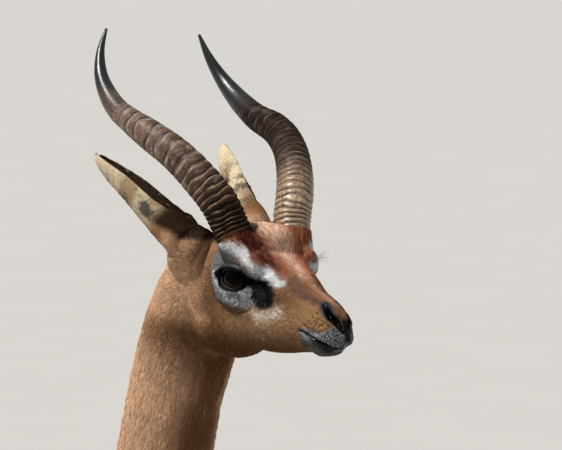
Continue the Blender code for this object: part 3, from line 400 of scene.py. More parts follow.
def mesh_from(name, points, triangles):
    """A mesh from arrays of points and of triangles."""
    points, triangles = np.asarray(points, np.float32), np.asarray(triangles, np.int32)
    mesh = bpy.data.meshes.new(name)
    mesh.vertices.add(len(points))
    mesh.vertices.foreach_set("co", points.ravel())
    mesh.loops.add(triangles.size)
    mesh.loops.foreach_set("vertex_index", triangles.ravel())
    mesh.polygons.add(len(triangles))
    mesh.polygons.foreach_set("loop_start", np.arange(0, triangles.size, 3, dtype=np.int32))
    mesh.update(calc_edges=True)
    mesh.shade_smooth()
    return mesh


def new_object(name, mesh, material=None):
    made = bpy.data.objects.new(name, mesh)
    bpy.context.scene.collection.objects.link(made)
    if material:
        mesh.materials.clear()
        mesh.materials.append(material)
    return made


def piece(name, mesh, material, slot, *nodes):
    """A piece of the visual model, in place of the nodes named, on the one body. The slot is not used."""
    made = new_object(name, mesh, material)
    if nodes:
        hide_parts(*nodes)
    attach(made, "root")
    return made


def to_mesh(shape, name):
    """A new mesh from an editable shape, which is given up."""
    mesh = bpy.data.meshes.new(name)
    shape.to_mesh(mesh)
    shape.free()
    return mesh


def vectors_of(mesh, field):
    values = np.zeros(len(mesh.vertices) * 3, np.float32)
    mesh.vertices.foreach_get(field, values)
    return values.reshape(-1, 3).astype(float)


def points_of(mesh):
    return vectors_of(mesh, "co")


def normals_of(mesh):
    return vectors_of(mesh, "normal")


def set_points(mesh, points):
    mesh.vertices.foreach_set("co", np.asarray(points, np.float32).ravel())
    mesh.update()


def triangles_of(mesh):
    mesh.calc_loop_triangles()
    corners = np.zeros(len(mesh.loop_triangles) * 3, np.int32)
    mesh.loop_triangles.foreach_get("vertices", corners)
    return corners.reshape(-1, 3)


def relax(mesh, rounds, forward=0.5, backward=-0.53):
    """Smooths a mesh, by steps towards and, so that it keeps its size, away from the neighbours' mean."""
    points = points_of(mesh)
    ends = np.zeros(len(mesh.edges) * 2, np.int32)
    mesh.edges.foreach_get("vertices", ends)
    first, second = ends[0::2], ends[1::2]
    count = len(points)
    degree = np.maximum(np.bincount(first, minlength=count) + np.bincount(second, minlength=count), 1)
    for step in [forward, backward] * rounds:
        mean = np.empty_like(points)
        for axis in range(3):
            column = points[:, axis]
            total = np.bincount(first, column[second], count) + np.bincount(second, column[first], count)
            mean[:, axis] = total / degree
        points = points + step * (mean - points)
    set_points(mesh, points)


def grid_triangles(rows, columns, wrap):
    """Triangles of a grid of points, row by row, whose columns may close on themselves."""
    row = np.arange(rows - 1)[:, None]
    column = np.arange(columns if wrap else columns - 1)[None, :]
    after = (column + 1) % columns
    a, b = row * columns + column, row * columns + after
    c, d = (row + 1) * columns + after, (row + 1) * columns + column
    return np.concatenate([np.stack([a, b, c], -1).reshape(-1, 3), np.stack([a, c, d], -1).reshape(-1, 3)])


def rings_mesh(name, rings):
    """A closed mesh through rings of equal point counts, with a fan at each end."""
    rings = np.asarray(rings, float)
    rows, columns = rings.shape[:2]
    points = np.vstack([rings.reshape(-1, 3), rings[0].mean(axis=0), rings[-1].mean(axis=0)])
    k = np.arange(columns)
    after = (k + 1) % columns
    start = np.stack([np.full(columns, rows * columns), after, k], -1)
    last = (rows - 1) * columns
    end = np.stack([np.full(columns, rows * columns + 1), last + k, last + after], -1)
    mesh = mesh_from(name, points, np.vstack([grid_triangles(rows, columns, True), start, end]))
    face_outwards(mesh)
    return mesh


@contextmanager
def edited(mesh):
    """The mesh as an editable shape, which is written back to it."""
    shape = bmesh.new()
    shape.from_mesh(mesh)
    shape.verts.ensure_lookup_table()
    yield shape
    shape.to_mesh(mesh)
    shape.free()


def face_outwards(mesh):
    with edited(mesh) as shape:
        bmesh.ops.recalc_face_normals(shape, faces=shape.faces)


def framed(path):
    """Two ways square to a path, turned as little as can be; the first starts to the side."""
    across = np.array([0.0, 1.0, 0.0])
    first, second = [], []
    for forward in unit(np.gradient(path, axis=0)):
        across = across - forward * np.dot(across, forward)
        across = across / np.linalg.norm(across)
        first.append(across)
        second.append(np.cross(forward, across))
    return np.array(first), np.array(second)


def round_ways(first, second, angles):
    """Ways round each place of a path, from the two ways square to it."""
    return first[:, None] * np.cos(angles)[None, :, None] + second[:, None] * np.sin(angles)[None, :, None]


def tube_rings(path, radii, sides):
    """Round rings along a path."""
    return path[:, None] + round_ways(*framed(path), turns(sides)) * np.asarray(radii)[:, None, None]


def set_colours(mesh, colours, gloss=0.0):
    """Writes the coat attribute: linear colour, and how bare and wet the surface is as its alpha."""
    colours = np.asarray(colours, float)
    rgba = np.ones((len(colours), 4), np.float32)
    rgba[:, :3] = np.clip(colours, 0, 1)
    rgba[:, 3] = gloss
    layer = mesh.color_attributes.new(name="coat", type="FLOAT_COLOR", domain="POINT")
    layer.data.foreach_set("color", rgba.ravel())


def set_chart(mesh, corners):
    """Writes the place in the map of every corner of the triangles."""
    layer = mesh.uv_layers.new(name="OFBake")
    layer.data.foreach_set("uv", corners.astype(np.float32).ravel())


# Materials


def fed(tree, made, **values):
    """Gives a node's inputs and settings by name; an input takes a number or another node's output."""
    for name, value in values.items():
        label = name.replace("_", " ")
        if label not in made.inputs:
            setattr(made, name, value)
        elif isinstance(value, bpy.types.NodeSocket):
            tree.links.new(value, made.inputs[label])
        else:
            made.inputs[label].default_value = value
    return made


def node(tree, kind, **values):
    return fed(tree, tree.nodes.new(kind), **values)


def new_material(name):
    material = bpy.data.materials.new(name)
    material.use_nodes = True
    return material, material.node_tree, material.node_tree.nodes["Principled BSDF"]


def own_place(tree):
    """The place in the object's own metres."""
    return node(tree, "ShaderNodeTexCoord").outputs["Object"]


def grain(tree, scale, detail=3.0):
    return node(tree, "ShaderNodeTexNoise", Vector=own_place(tree), Scale=scale, Detail=detail).outputs["Fac"]


def ranged(tree, value, low, high, start=0.3, stop=0.7):
    """Maps a value's middle range to another range."""
    ends = {"From_Min": start, "From_Max": stop, "To_Min": low, "To_Max": high}
    return node(tree, "ShaderNodeMapRange", Value=value, **ends).outputs["Result"]


def blended(tree, share, first, second):
    """A colour between two, by a share that varies over the surface."""
    mix = node(tree, "ShaderNodeMix", data_type="RGBA", Factor=share, A=(*first, 1), B=(*second, 1))
    return mix.outputs["Result"]


def bump(tree, shader, height, distance, strength=1.0):
    made = node(tree, "ShaderNodeBump", Strength=strength, Distance=distance, Height=height)
    fed(tree, shader, Normal=made.outputs["Normal"])
    return made


def marked(tree, shade=None):
    """Colour of the coat attribute, times a shade if there is one, and its alpha, how bare it is."""
    marks = node(tree, "ShaderNodeAttribute", attribute_name="coat")
    colour = marks.outputs["Color"]
    if shade:
        scaled = node(tree, "ShaderNodeVectorMath", operation="SCALE", Vector=colour, Scale=shade)
        colour = scaled.outputs["Vector"]
    return colour, marks.outputs["Alpha"]


def coat_material(name, variation, scale, depth, **look):
    """Takes its colour from the coat attribute, broken up by noise."""
    material, tree, shader = new_material(name)
    colour, bare = marked(tree, ranged(tree, grain(tree, scale * 0.35), 1.0 - variation, 1.0 + variation))
    fed(tree, shader, Base_Color=colour, Sheen_Roughness=0.45, Sheen_Tint=(1.0, 0.86, 0.72, 1.0), **look)
    return material, bare, bump(tree, shader, grain(tree, scale), depth)


def skin_surface():
    """The skin under the coat, which is smoother and moist where it is bare."""
    material, bare, relief = coat_material("short_hide", 0.16, 900, 0.0005, Sheen_Weight=0.0)
    tree = material.node_tree
    roughness = ranged(tree, bare, 0.72, 0.18, 0.0, 1.0)
    shine = ranged(tree, bare, 0.0, 0.12, 0.5, 1.0)
    fed(tree, tree.nodes["Principled BSDF"], Roughness=roughness, Specular_IOR_Level=shine)
    fed(tree, relief, Strength=ranged(tree, bare, 1.0, 0.12, 0.0, 0.8))
    return material


def horn_material():
    """Ringed keratin: colour from the coat attribute, fine grain and pits, and glossy tips."""
    material, tree, shader = new_material("horn_keratin")
    colour, gloss = marked(tree, ranged(tree, grain(tree, 320, 6.0), 0.55, 1.35))
    roughness = ranged(tree, gloss, 0.60, 0.29, 0.0, 1.0)
    shine = ranged(tree, gloss, 0.02, 0.72, 0.05, 1.0)
    fed(tree, shader, Base_Color=colour, Roughness=roughness, Specular_IOR_Level=shine)
    bump(tree, shader, grain(tree, 520, 5.0), 0.0005, 0.35)
    return material


def hoof_material():
    material, tree, shader = new_material("hoof_horn")
    bands = node(tree, "ShaderNodeTexWave", Vector=own_place(tree), Scale=110.0, Distortion=3.0, Detail=3.0)
    bands.bands_direction = "Z"
    colour = blended(tree, ranged(tree, grain(tree, 120, 5.0), 0.0, 1.0), srgb(34, 29, 26), srgb(78, 66, 56))
    fed(tree, shader, Base_Color=colour, Roughness=ranged(tree, grain(tree, 300), 0.35, 0.6))
    bump(tree, shader, bands.outputs["Fac"], 0.0004, 0.22)
    return material


def eye_material():
    """A near-black eye: dark brown iris round a wide dark pupil, wet."""
    material, tree, shader = new_material("eye_wet")
    roughness = ranged(tree, grain(tree, 400), 0.10, 0.16)
    fed(tree, shader, Base_Color=marked(tree)[0], Roughness=roughness, Specular_IOR_Level=0.03)
    return material


def floor_material():
    material, tree, shader = new_material("floor_pale")
    colour = blended(tree, grain(tree, 3.0), srgb(186, 184, 180), srgb(192, 190, 186))
    fed(tree, shader, Base_Color=colour, Roughness=0.85)
    return material


# Skin


def flesh_copy(names):
    """The flesh nodes as one shape, each grown a little, so that the thin cuts between them close."""
    whole = bmesh.new()
    for name in names:
        part = bmesh.new()
        part.from_mesh(NODES[name].data)
        bmesh.ops.remove_doubles(part, verts=part.verts, dist=1e-6)
        part.normal_update()
        for vertex in part.verts:
            vertex.co += vertex.normal * SKIN_GROW
        whole.from_mesh(to_mesh(part, name))
    return whole


def remeshed(name, shape, voxel):
    """One closed skin round a shape."""
    made = new_object(name, to_mesh(shape, name))
    change = made.modifiers.new("skin", "REMESH")
    change.mode = "VOXEL"
    change.voxel_size = voxel
    graph = bpy.context.evaluated_depsgraph_get()
    result = bpy.data.meshes.new_from_object(made.evaluated_get(graph))
    bpy.data.objects.remove(made)
    return result


def drop_points(mesh, gone):
    """Deletes the marked vertices."""
    with edited(mesh) as shape:
        bmesh.ops.delete(shape, geom=[shape.verts[k] for k in np.flatnonzero(gone)], context="VERTS")


def refine(mesh, near):
    """Halves the edges between marked vertices, for finer detail there."""
    with edited(mesh) as shape:
        edges = [edge for edge in shape.edges if near[edge.verts[0].index] and near[edge.verts[1].index]]
        bmesh.ops.subdivide_edges(shape, edges=edges, cuts=1, use_grid_fill=True)


def below_join(points):
    """How far points lie below the top of the band where the head's skin meets the body's."""
    return -(points - np.array(HEAD + JOIN_TOP)) @ np.array(JOIN_AXIS)


def mirrored(points):
    """Points in the head's frame, folded onto its left side."""
    local = points - np.array(HEAD)
    return local * [1, 0, 1] + np.abs(local) * [0, 1, 0]


def head_skin():
    """The head's skin, and its places before the folds were pressed in, by which it is coloured."""
    shape = flesh_copy(["head", "neck"])
    for side in SIDES.values():
        shape.from_mesh(ear_sleeve(side))
    mesh = remeshed("head_skin", shape, HEAD_VOXEL)
    drop_points(mesh, below_join(points_of(mesh)) > JOIN_BAND)
    relax(mesh, 4, backward=0.0)
    relax(mesh, 12)
    folded = mirrored(points_of(mesh))
    distances = [path_distance(folded, path)[0] for path in (MOUTH_LINE, NOSTRIL)]
    eye = np.linalg.norm(folded - np.array(EYE_CENTRE), axis=1) - EYE_RADIUS
    refine(mesh, (np.min(distances, axis=0) < 0.007) | (eye < 0.004) | (folded[:, 0] > 0.100))
    points, normals = points_of(mesh), normals_of(mesh)
    points -= normals * HEAD_DEPTH
    flat, folded = points.copy(), mirrored(points)
    local = points - np.array(HEAD)
    tree = BVHTree.FromPolygons(local.tolist(), triangles_of(mesh).tolist())
    DRAWN.update(mouth=drawn_on(tree, MOUTH_LINE), nostril=drawn_on(tree, NOSTRIL))
    DRAWN["whiskers"] = [np.array(place) for place in whisker_places(tree)]
    DRAWN["folds"] = [drawn_on(tree, path) for path, width, _ in CREASES[2:] if width < 0.0015]
    for path, width, depth in CREASES:
        distance, share = path_distance(folded, drawn_on(tree, path))
        fade = ramp(share, 0, 0.1) if path is MOUTH_LINE else tapered(share)
        points -= normals * (depth * np.maximum(fade, 0.15) * np.exp(-((distance / width) ** 2)))[:, None]
    for path, width, height in SWELLINGS:
        distance, share = path_distance(folded, drawn_on(tree, path))
        points += normals * (height * tapered(share) * np.exp(-((distance / width) ** 2)))[:, None]
    distance, _ = path_distance(local, smooth_rows(SCAR, 20))
    points -= normals * (0.0016 * np.exp(-((distance / 0.0016) ** 2)))[:, None]
    lips = within(folded[:, [0, 2]], UPPER_LIP, 0.001)
    points += normals * (0.00022 * wobble(points, 0.0026, 51) * lips)[:, None]
    depth = below_join(points)
    points += normals * (0.0003 - 0.0006 * ramp(depth, 0, JOIN_BAND))[:, None]
    set_points(mesh, points)
    return mesh, flat


def tail_path(count):
    rows = [(WITHERS.x + ahead, 0.0, height, radius) for ahead, height, radius in TAIL]
    return smooth_rows(rows, count)


def body_skin():
    names = ["neck", "torso"] + [f"leg_{which}_{side}" for which, side in FEET]
    shape = flesh_copy(names)
    tail = tail_path(60)
    shape.from_mesh(rings_mesh("tail_core", tube_rings(tail[:, :3], tail[:, 3], 16)))
    mesh = remeshed("body_skin", shape, BODY_VOXEL)
    drop_points(mesh, below_join(points_of(mesh)) < 0.0)
    relax(mesh, 3, backward=0.0)
    relax(mesh, 10)
    points, normals = points_of(mesh), normals_of(mesh)
    leg = ramp(points[:, 2], 0.55, 0.35)
    points -= normals * (BODY_DEPTH * (1 - 0.6 * leg))[:, None]
    depth = below_join(points)
    to_head = BODY_DEPTH - HEAD_DEPTH
    points += normals * (to_head * ramp(depth, 0.12, JOIN_BAND))[:, None]
    points -= normals * (0.0003 * ramp(depth, JOIN_BAND * 1.2, JOIN_BAND * 0.5))[:, None]
    set_points(mesh, points)
    return mesh


# Markings


def soft(distance, edge):
    """1 well inside, 0 well outside, where distance is negative inside."""
    return 1 / (1 + np.exp(np.clip(distance / edge, -30, 30)))


def oval_mask(points, centre, radii, edge, turn=0.0):
    """A soft oval on the side of the head, seen from the side."""
    x, z = points[:, 0] - centre[0], points[:, 2] - centre[1]
    angle = math.radians(turn)
    along, across = x * math.cos(angle) + z * math.sin(angle), z * math.cos(angle) - x * math.sin(angle)
    reach = np.sqrt((along / radii[0]) ** 2 + (across / radii[1]) ** 2)
    return soft((reach - 1) * min(radii), edge)


def height_line(points, line):
    """How far points lie above a line drawn along the side of the head."""
    return points[:, 2] - np.interp(points[:, 0], *line.T)


def outline_distance(places, outline):
    """Distance from flat places to a closed outline, negative inside it."""
    nearest = np.full(len(places), 1e9)
    inside = np.zeros(len(places), bool)
    for start, end in zip(outline, np.roll(outline, -1, axis=0)):
        step = end - start
        t = np.clip((places - start) @ step / (step @ step), 0, 1)
        nearest = np.minimum(nearest, np.linalg.norm(places - start - t[:, None] * step, axis=1))
        crossed = (start[1] > places[:, 1]) != (end[1] > places[:, 1])
        meeting = start[0] + (places[:, 1] - start[1]) / (step[1] or 1e-12) * step[0]
        inside ^= crossed & (places[:, 0] < meeting)
    return np.where(inside, -nearest, nearest)


def within(places, outline, edge):
    """A soft mask of the inside of an outline."""
    return soft(outline_distance(places, outline), edge)


def drawn_on(tree, path, count=40):
    """A smooth line through a path's places, laid on the skin of the left side of the head."""
    return np.array([tree.find_nearest(Vector(row))[0] for row in smooth_rows(path, count)])


def ear_sleeve(side):
    """The root of an ear as a solid, which the head's skin is drawn round."""
    (outer, _), share, *_ = ear_sheet(side, 60, 33)
    centres = [np.array(on_head(EAR_ROOT, side)), *outer.mean(axis=1)[share < EAR_SLEEVE]]
    rows = [outer[0] + (centres[0] - centres[1])] + list(outer[share < EAR_SLEEVE])
    shrink = np.append(1.0, 1.0 + 0.04 * ramp(share[share < EAR_SLEEVE] / EAR_SLEEVE, 0.6, 0.0))
    shrink[-2:] *= (0.96, 0.86)
    rings = [centre + (row - centre) * size for centre, row, size in zip(centres, rows, shrink)]
    return rings_mesh("ear_sleeve", rings)


def mixed(colours, other, mask):
    return colours + (other - colours) * np.clip(mask, 0, 1)[:, None]


def layered(colours, layers):
    """Colours painted over by layers, each a colour and its mask."""
    for colour, mask in layers:
        colours = mixed(colours, colour, mask)
    return colours


def jaw_layers(p, mottle):
    """Jaw, throat and nape with painted shade under the jaw and behind the cheek, a painted pool of light low
    on the cheek, and the gold and the painted-shade brown of the muzzle.
    """
    ahead, _, above = p.T
    return [
        # Painted shade under the jaw and throat
        (JAW_PAINTED_SHADE, soft(above + 0.056 - 0.004 * mottle, 0.0045)),
        # Painted pool of light low on the cheek
        (CHEEK_LIT_AND_PALE, oval_mask(p, (0.022, -0.0445), (0.040, 0.0085), 0.004, 4) * 0.75),
        # Painted shade behind the cheek, where it meets the neck
        (JAW_PAINTED_SHADE, oval_mask(p, (-0.052, -0.045), (0.014, 0.045), 0.006, 12) * 0.9),
        (NECK_BROWN, soft(ahead + 0.066, 0.008) * ramp(above, -0.06, -0.03)),
        (MUZZLE_GOLD, oval_mask(p, (0.106, -0.0315), (0.021, 0.0125), 0.0028, -28)),
        # Painted shade on the muzzle below the nose
        (CHEEK_PAINTED_SHADE, oval_mask(p, (0.064, -0.0165), (0.016, 0.0105), 0.004, -20) * 0.6),
    ]


def forehead_colours(p, margin, chestnut_and_shadow, lit_left, mottle, fine):
    """Forehead and nose: chestnut, partly painted horn shadow, on both sides of a pale stripe with painted
    sheen, fainter and lighter on the left as painted light; painted shade near the nose tip and a painted
    highlight along the nose ridge.
    """
    ahead, out, _ = p.T
    half = np.interp(ahead, *STRIPE_HALF.T)
    stripe_and_sheen = soft(out - half + 0.001 * fine, 0.0024) * ramp(ahead, 0.088, 0.062)
    ridge = ramp(out, 0.0050, 0.0015) * ramp(ahead, 0.064, 0.080) * ramp(ahead, 0.122, 0.108)
    layers = [
        (CHEEK_BROWN, ramp(ahead, 0.044, 0.066) * 0.55),
        # Painted light: the left side is lighter
        (RUFOUS * 1.9, lit_left),
        # Chestnut patch with painted horn shadow
        (CHESTNUT_AND_SHADOW, chestnut_and_shadow * (0.92 + 0.08 * mottle)),
        (NOSE_ORANGE, margin * 0.7),
        # Pale stripe, partly painted sheen
        (TAN_AND_SHEEN, stripe_and_sheen * 0.82),
        (NOSE_ORANGE, ramp(ahead, 0.060, 0.078) * ramp(out, 0.0165, 0.0125)),
        # Painted shade towards the nose tip
        (CHEEK_PAINTED_SHADE, ramp(ahead, 0.104, 0.122) * 0.55),
        (NECK_BROWN, ramp(ahead, -0.035, -0.085)),
        # Painted highlight along the nose ridge
        (TAN_AND_SHEEN, ridge * 0.45 * (0.7 + 0.3 * fine)),
    ]
    return layered(RUFOUS, layers)


def ring_colours(p, under, mottle, fine):
    """Ring round the eye: grey, darker above it, paler with a brown pouch under it."""
    ahead, _, above = p.T
    pouch = ramp(above + 0.10 * (ahead + 0.012), -0.0235, -0.0275) * ramp(ahead, 0.020, 0.010)
    layers = [
        (DARK_GREY, oval_mask(p, (-0.004, 0.0205), (0.021, 0.0075), 0.002, -8)),
        (DARK_GREY, ramp(mottle + fine, 0.35, 1.0) * ramp(above, 0.000, 0.008) * 0.6),
        (EYE_GREY, under),
        (PALE_GREY, under * ramp(mottle + fine, 0.15, 0.9) * 0.75 * ramp(above, -0.030, -0.024)),
        (POUCH, pouch),
    ]
    return layered(GREY, layers)


def gland_marks(p, side, mottle, fine):
    """Layers of the black round the eye, the gland and the pale patch below it, and how bare they are."""
    flat, above = p[:, [0, 2]], p[:, 2]
    gland = within(flat, GLAND, 0.0006) * side
    black = soft(outline_distance(flat, EYE_BLACK) - 0.0009, 0.0005) * side
    pit = oval_mask(p, (0.0370, -0.0035), (0.0085, 0.0048), 0.0008, -25) * side
    wet = oval_mask(p, (0.0360, -0.0110), (0.0065, 0.0045), 0.0008) * side
    layers = [
        # Broad pale area below the gland
        (CHEEK_LIT_AND_PALE * 1.35, oval_mask(p, (0.048, -0.0365), (0.030, 0.0090), 0.004, 4) * side * 0.6),
        (PALE_TAN, within(flat, PALE_PATCH, 0.0020) * side * 0.95),
        (BLUE_BLACK, gland),
        # Painted blue-grey reflection in patches on the wet lower part of the gland
        (EYE_GREY, gland * ramp(fine + mottle, 0.6, 1.2) * ramp(above, -0.006, -0.012) * 0.5),
        (BLACK, np.maximum(black, pit)),
    ]
    return layers, np.maximum.reduce([black * 0.5, pit * 0.5, gland * 0.35, wet])


def muzzle_marks(p):
    """Layers of the lips, chin, whisker roots and nose, how bare they are, and how specked."""
    ahead, out, above = p.T
    flat = p[:, [0, 2]]
    mouth, _ = path_distance(p, DRAWN["mouth"])
    above_mouth = height_line(p, np.array(MOUTH_LINE)[:, [0, 2]])
    gold = soft(mouth - 0.0075, 0.002) * (above_mouth > 0) * ramp(ahead, 0.082, 0.092)
    lip = within(flat, UPPER_LIP, 0.0008)
    chin = within(flat, CHIN, 0.0010)
    pebble = ramp(wobble(p, 0.0021, 7), -0.10, 0.30)
    deep = lip * ramp(ahead - 0.5 * (above + 0.045), 0.106, 0.128)
    dot = np.min([np.linalg.norm(p - place, axis=1) for place in DRAWN["whiskers"]], axis=0)
    below = soft(mouth - 0.0050, 0.0008) * ramp(ahead, 0.094, 0.104)
    below = np.maximum(below, oval_mask(p, (0.1125, -0.0588), (0.0125, 0.0040), 0.0007, -24))
    lips = np.maximum(soft(mouth - 0.0016, 0.0004), below * (above_mouth < 0.0008))
    nostril, along = path_distance(p, DRAWN["nostril"])
    rim = soft(nostril - 0.0046 - 0.0016 * ramp(along, 0.6, 0.1), 0.0007) * ramp(along, 0.85, 0.5)
    front = ramp(ahead, 0.1280, 0.1310) * ramp(above, -0.0540, -0.0500) * soft(out - 0.0038, 0.0007)
    pad = np.maximum(soft(nostril - 0.0034, 0.0004), front)
    layers = [
        (MUZZLE_GOLD, gold * 0.6),
        (LIP_GREY, lip * 0.9),
        (CHIN_GREY, chin),
        (LIP_GREY, chin * soft(mouth - 0.0075, 0.001) * ramp(ahead, 0.104, 0.094) * 0.8),
        (BLUE_BLACK, deep * 0.40),
        (BLUE_BLACK, lip * pebble * 0.85),
        (BLUE_BLACK, chin * pebble * 0.35),
        (BLACK, soft(dot - 0.0009, 0.0002) * (1 - lip)),
        (BLACK, lips),
        (RIM_BLUE, rim),
        (BLACK, pad),
    ]
    return layers, np.maximum.reduce([lips, pad, rim * 0.6]), np.maximum(lip * 0.35, chin * 0.30)


def head_colours(points):
    """Colour, bareness and share of dark specks at points of the head, for the coat and the skin."""
    p, local = mirrored(points), points - np.array(HEAD)
    p[:, [0, 2]] += (wobble(p, 0.010, 3) * 0.0008 + wobble(p, 0.0030, 4) * 0.0003)[:, None]
    ahead, out, above = p.T
    flat = p[:, [0, 2]]
    side = ramp(out, 0.008, 0.014)
    mottle, fine = wobble(p, 0.0075, 6), wobble(p, 0.0022, 7)
    # Forehead and nose
    rise = height_line(p, BROW_LINE)
    forehead = soft(-rise, 0.0007 + 0.0022 * ramp(ahead, 0.055, 0.070))
    # The lit left side, where painted light makes the forehead lighter and the painted horn shadow fainter
    lit_left = ramp(local[:, 1], -0.004, 0.004)
    # Chestnut patch, partly painted horn shadow, fainter on the lit left side
    chestnut_and_shadow = within(p[:, :2], CHESTNUT_SHADOW_PATCH, 0.0013) * (1 - 0.68 * lit_left)
    reach = np.interp(ahead, *BROW_REACH.T)
    outer = ramp(out, reach - 0.003, reach)
    margin = np.exp(-(((rise - 0.0014) / 0.0013) ** 2)) * outer
    margin *= ramp(ahead, 0.004, 0.012) * ramp(ahead, 0.052, 0.040)
    distance, share = path_distance(flat, NOSE_STRIPE)
    dusk = soft(distance - 0.0030 + 0.0016 * mottle, 0.0012) * ramp(out, 0.0065, 0.0100)
    # Ring round the eye
    ring_edge = outline_distance(flat, EYE_RING)
    # Painted shadow behind and below the eye ring
    ring_shadow = soft(ring_edge - 0.0045, 0.0016) * ramp(ahead, 0.012, -0.012) * ramp(above, 0.014, 0.002)
    ring = soft(ring_edge, 0.0008) * side * (1 - forehead)
    under = ramp(above, 0.000, -0.010)
    # Brow
    band = within(flat, WHITE_BAND, 0.0007) * side * outer
    core, _ = path_distance(flat, BAND_CORE)
    bright = soft(core - 0.0030 - 0.0015 * ramp(ahead, 0.030, 0.045), 0.0014)
    bright *= 0.20 + 0.80 * ramp(ahead, -0.008, 0.014)
    lid, along_lid = path_distance(flat, LID_LINE)
    layers = [
        (forehead_colours(p, margin, chestnut_and_shadow, lit_left, mottle, fine), forehead),
        (NOSE_GREY, dusk * (0.70 + 0.30 * share)),
        # Painted shadow of the pouch, behind and below the eye ring
        (CHEEK_PAINTED_SHADE * 0.75, ring_shadow * side * 0.75),
        (ring_colours(p, under, mottle, fine), ring),
        (PALE_GREY * 0.8, band),
        (WHITE, band * bright),
        (WHITE, soft(lid - 0.0013, 0.0003) * ramp(along_lid, 1.05, 0.7) * side),
    ]
    gland, bare = gland_marks(p, side, mottle, fine)
    muzzle, moist, dotted = muzzle_marks(p)
    colours = layered(CHEEK_BROWN, jaw_layers(p, mottle) + layers + gland + muzzle)
    # Dark specks: speckled hair in the ring and brow band, and on the chestnut patch painted shade in the
    # gaps between strands
    specks = np.maximum(ring * (0.20 + 0.12 * under), chestnut_and_shadow * forehead * 0.30)
    specks = specks * (1 - band) + (0.04 + 0.22 * (1 - bright)) * band
    # Painted shade along the fine folds
    for path in DRAWN["folds"]:
        distance, share = path_distance(p, path)
        colours *= (1 - 0.55 * np.exp(-((distance / 0.0011) ** 2)) * tapered(share))[:, None]
    # Painted shade of the hollow of the right ear, which is turned ahead, running on down to the horn
    pocket_shade = soft(0.0325 - 0.04 * (local[:, 0] + 0.035) - local[:, 2], 0.0009)
    pocket_shade *= ramp(local[:, 0], -0.092, -0.086) * ramp(local[:, 0], -0.024, -0.030)
    pocket_shade *= ramp(-local[:, 1], 0.014, 0.020)
    scar, _ = path_distance(local, smooth_rows(SCAR, 20))
    colours = layered(colours, [(EAR_INSIDE_PAINTED_SHADE, pocket_shade), (PALE_TAN, soft(scar - 0.0008, 0.0004) * 0.7)])
    return colours, np.maximum(bare, moist), np.maximum(specks, dotted)


def whisker_places(tree):
    """Roots of the whiskers, in rough rows over the golden side of the muzzle."""
    draw = np.random.default_rng(55)
    low, high = DRAWN["mouth"][4:30], DRAWN["nostril"]
    places = []
    for row in range(5):
        for share in np.linspace(0.10, 0.95, 9):
            start, end = low[int(share * (len(low) - 1))], high[int(share * (len(high) - 1))]
            step = 0.26 + 0.12 * row + draw.normal(0, 0.03)
            place = start + (end - start) * step + draw.normal(0, 0.0009, 3)
            places.append(tree.find_nearest(Vector(place))[0])
    return places


def body_colours(points, normals):
    """Colour of the neck, trunk, legs and tail."""
    p = points - np.array(WITHERS)
    x, height, out = p[:, 0], p[:, 2], np.abs(p[:, 1])
    facing = normals[:, 1] * np.sign(p[:, 1])
    trunk = ramp(x, 0.17, 0.06) * ramp(height, 1.08, 0.98)
    saddle_edge = np.interp(x, (-0.75, -0.62, -0.45, 0.0, 0.12), (0.80, 0.835, 0.840, 0.850, 0.90))
    uneven = wobble(points, 0.12, 5) * 0.004 + wobble(points, 0.012, 8) * 0.0015
    saddle = soft(saddle_edge - height - uneven, 0.003)
    below = ramp(normals[:, 2], -0.45, -0.80) * ramp(height, 0.52, 0.60) * ramp(x, 0.06, -0.02)
    inner = ramp(facing, -0.35, -0.75) * ramp(height, 0.40, 0.52) * ramp(height, 0.76, 0.66)
    uneven = wobble(points, 0.030, 16) * 0.10 + wobble(points, 0.010, 18) * 0.05
    rump = np.sqrt(((x + 0.745) / 0.055) ** 2 + ((height - 0.775) / 0.088) ** 2 + (out / 0.052) ** 2)
    legs = ramp(height, 0.64, 0.50) * (1 - inner * 0.8)
    knee = soft(np.abs(height - 0.300) - 0.024, 0.006) * ramp(normals[:, 0], 0.1, 0.6) * (x > -0.3)
    fetlock = soft(np.abs(height - 0.072) - 0.014, 0.005) * ramp(normals[:, 0], -0.2, -0.7)
    tail = (x < -0.725) & (height < 0.87) & (out < 0.020) & (height > 0.60)
    layers = [
        # Painted shade where the surface faces ahead and inwards, most on the front of the neck
        (NECK_PAINTED_SHADE, ramp(normals[:, 0] - 0.35 * facing, 0.12, 0.85)),
        (mixed(FLANK, SADDLE, saddle), trunk),
        (CREAM, np.maximum(below, inner * 0.9)),
        (CREAM, soft(rump - 1 + uneven, 0.04) * 0.9),
        (mixed(FLANK, NECK_BROWN, ramp(height, 0.35, 0.05) * 0.7), legs),
        (KNEE_DARK, knee * 0.85),
        (KNEE_DARK, fetlock * 0.6),
        (BRUSH_BLACK, tail * ramp(height, 0.80, 0.72)),
    ]
    return layered(NECK_BROWN, layers)


def coat_colours(points, normals):
    """Colour, bareness and specks anywhere on the skin."""
    colours = body_colours(points, normals)
    share = ramp(below_join(points), 0.02, -0.06)
    near = share > 0
    bare, specks = np.zeros(len(points)), np.zeros(len(points))
    head, bare[near], specks[near] = head_colours(points[near])
    colours[near] += (head - colours[near]) * share[near][:, None]
    uneven = sum(much * wobble(points, size, seed) for much, size, seed in COAT_SHADES)
    return colours * (1 + uneven)[:, None], bare, specks


# Lie and length of the coat


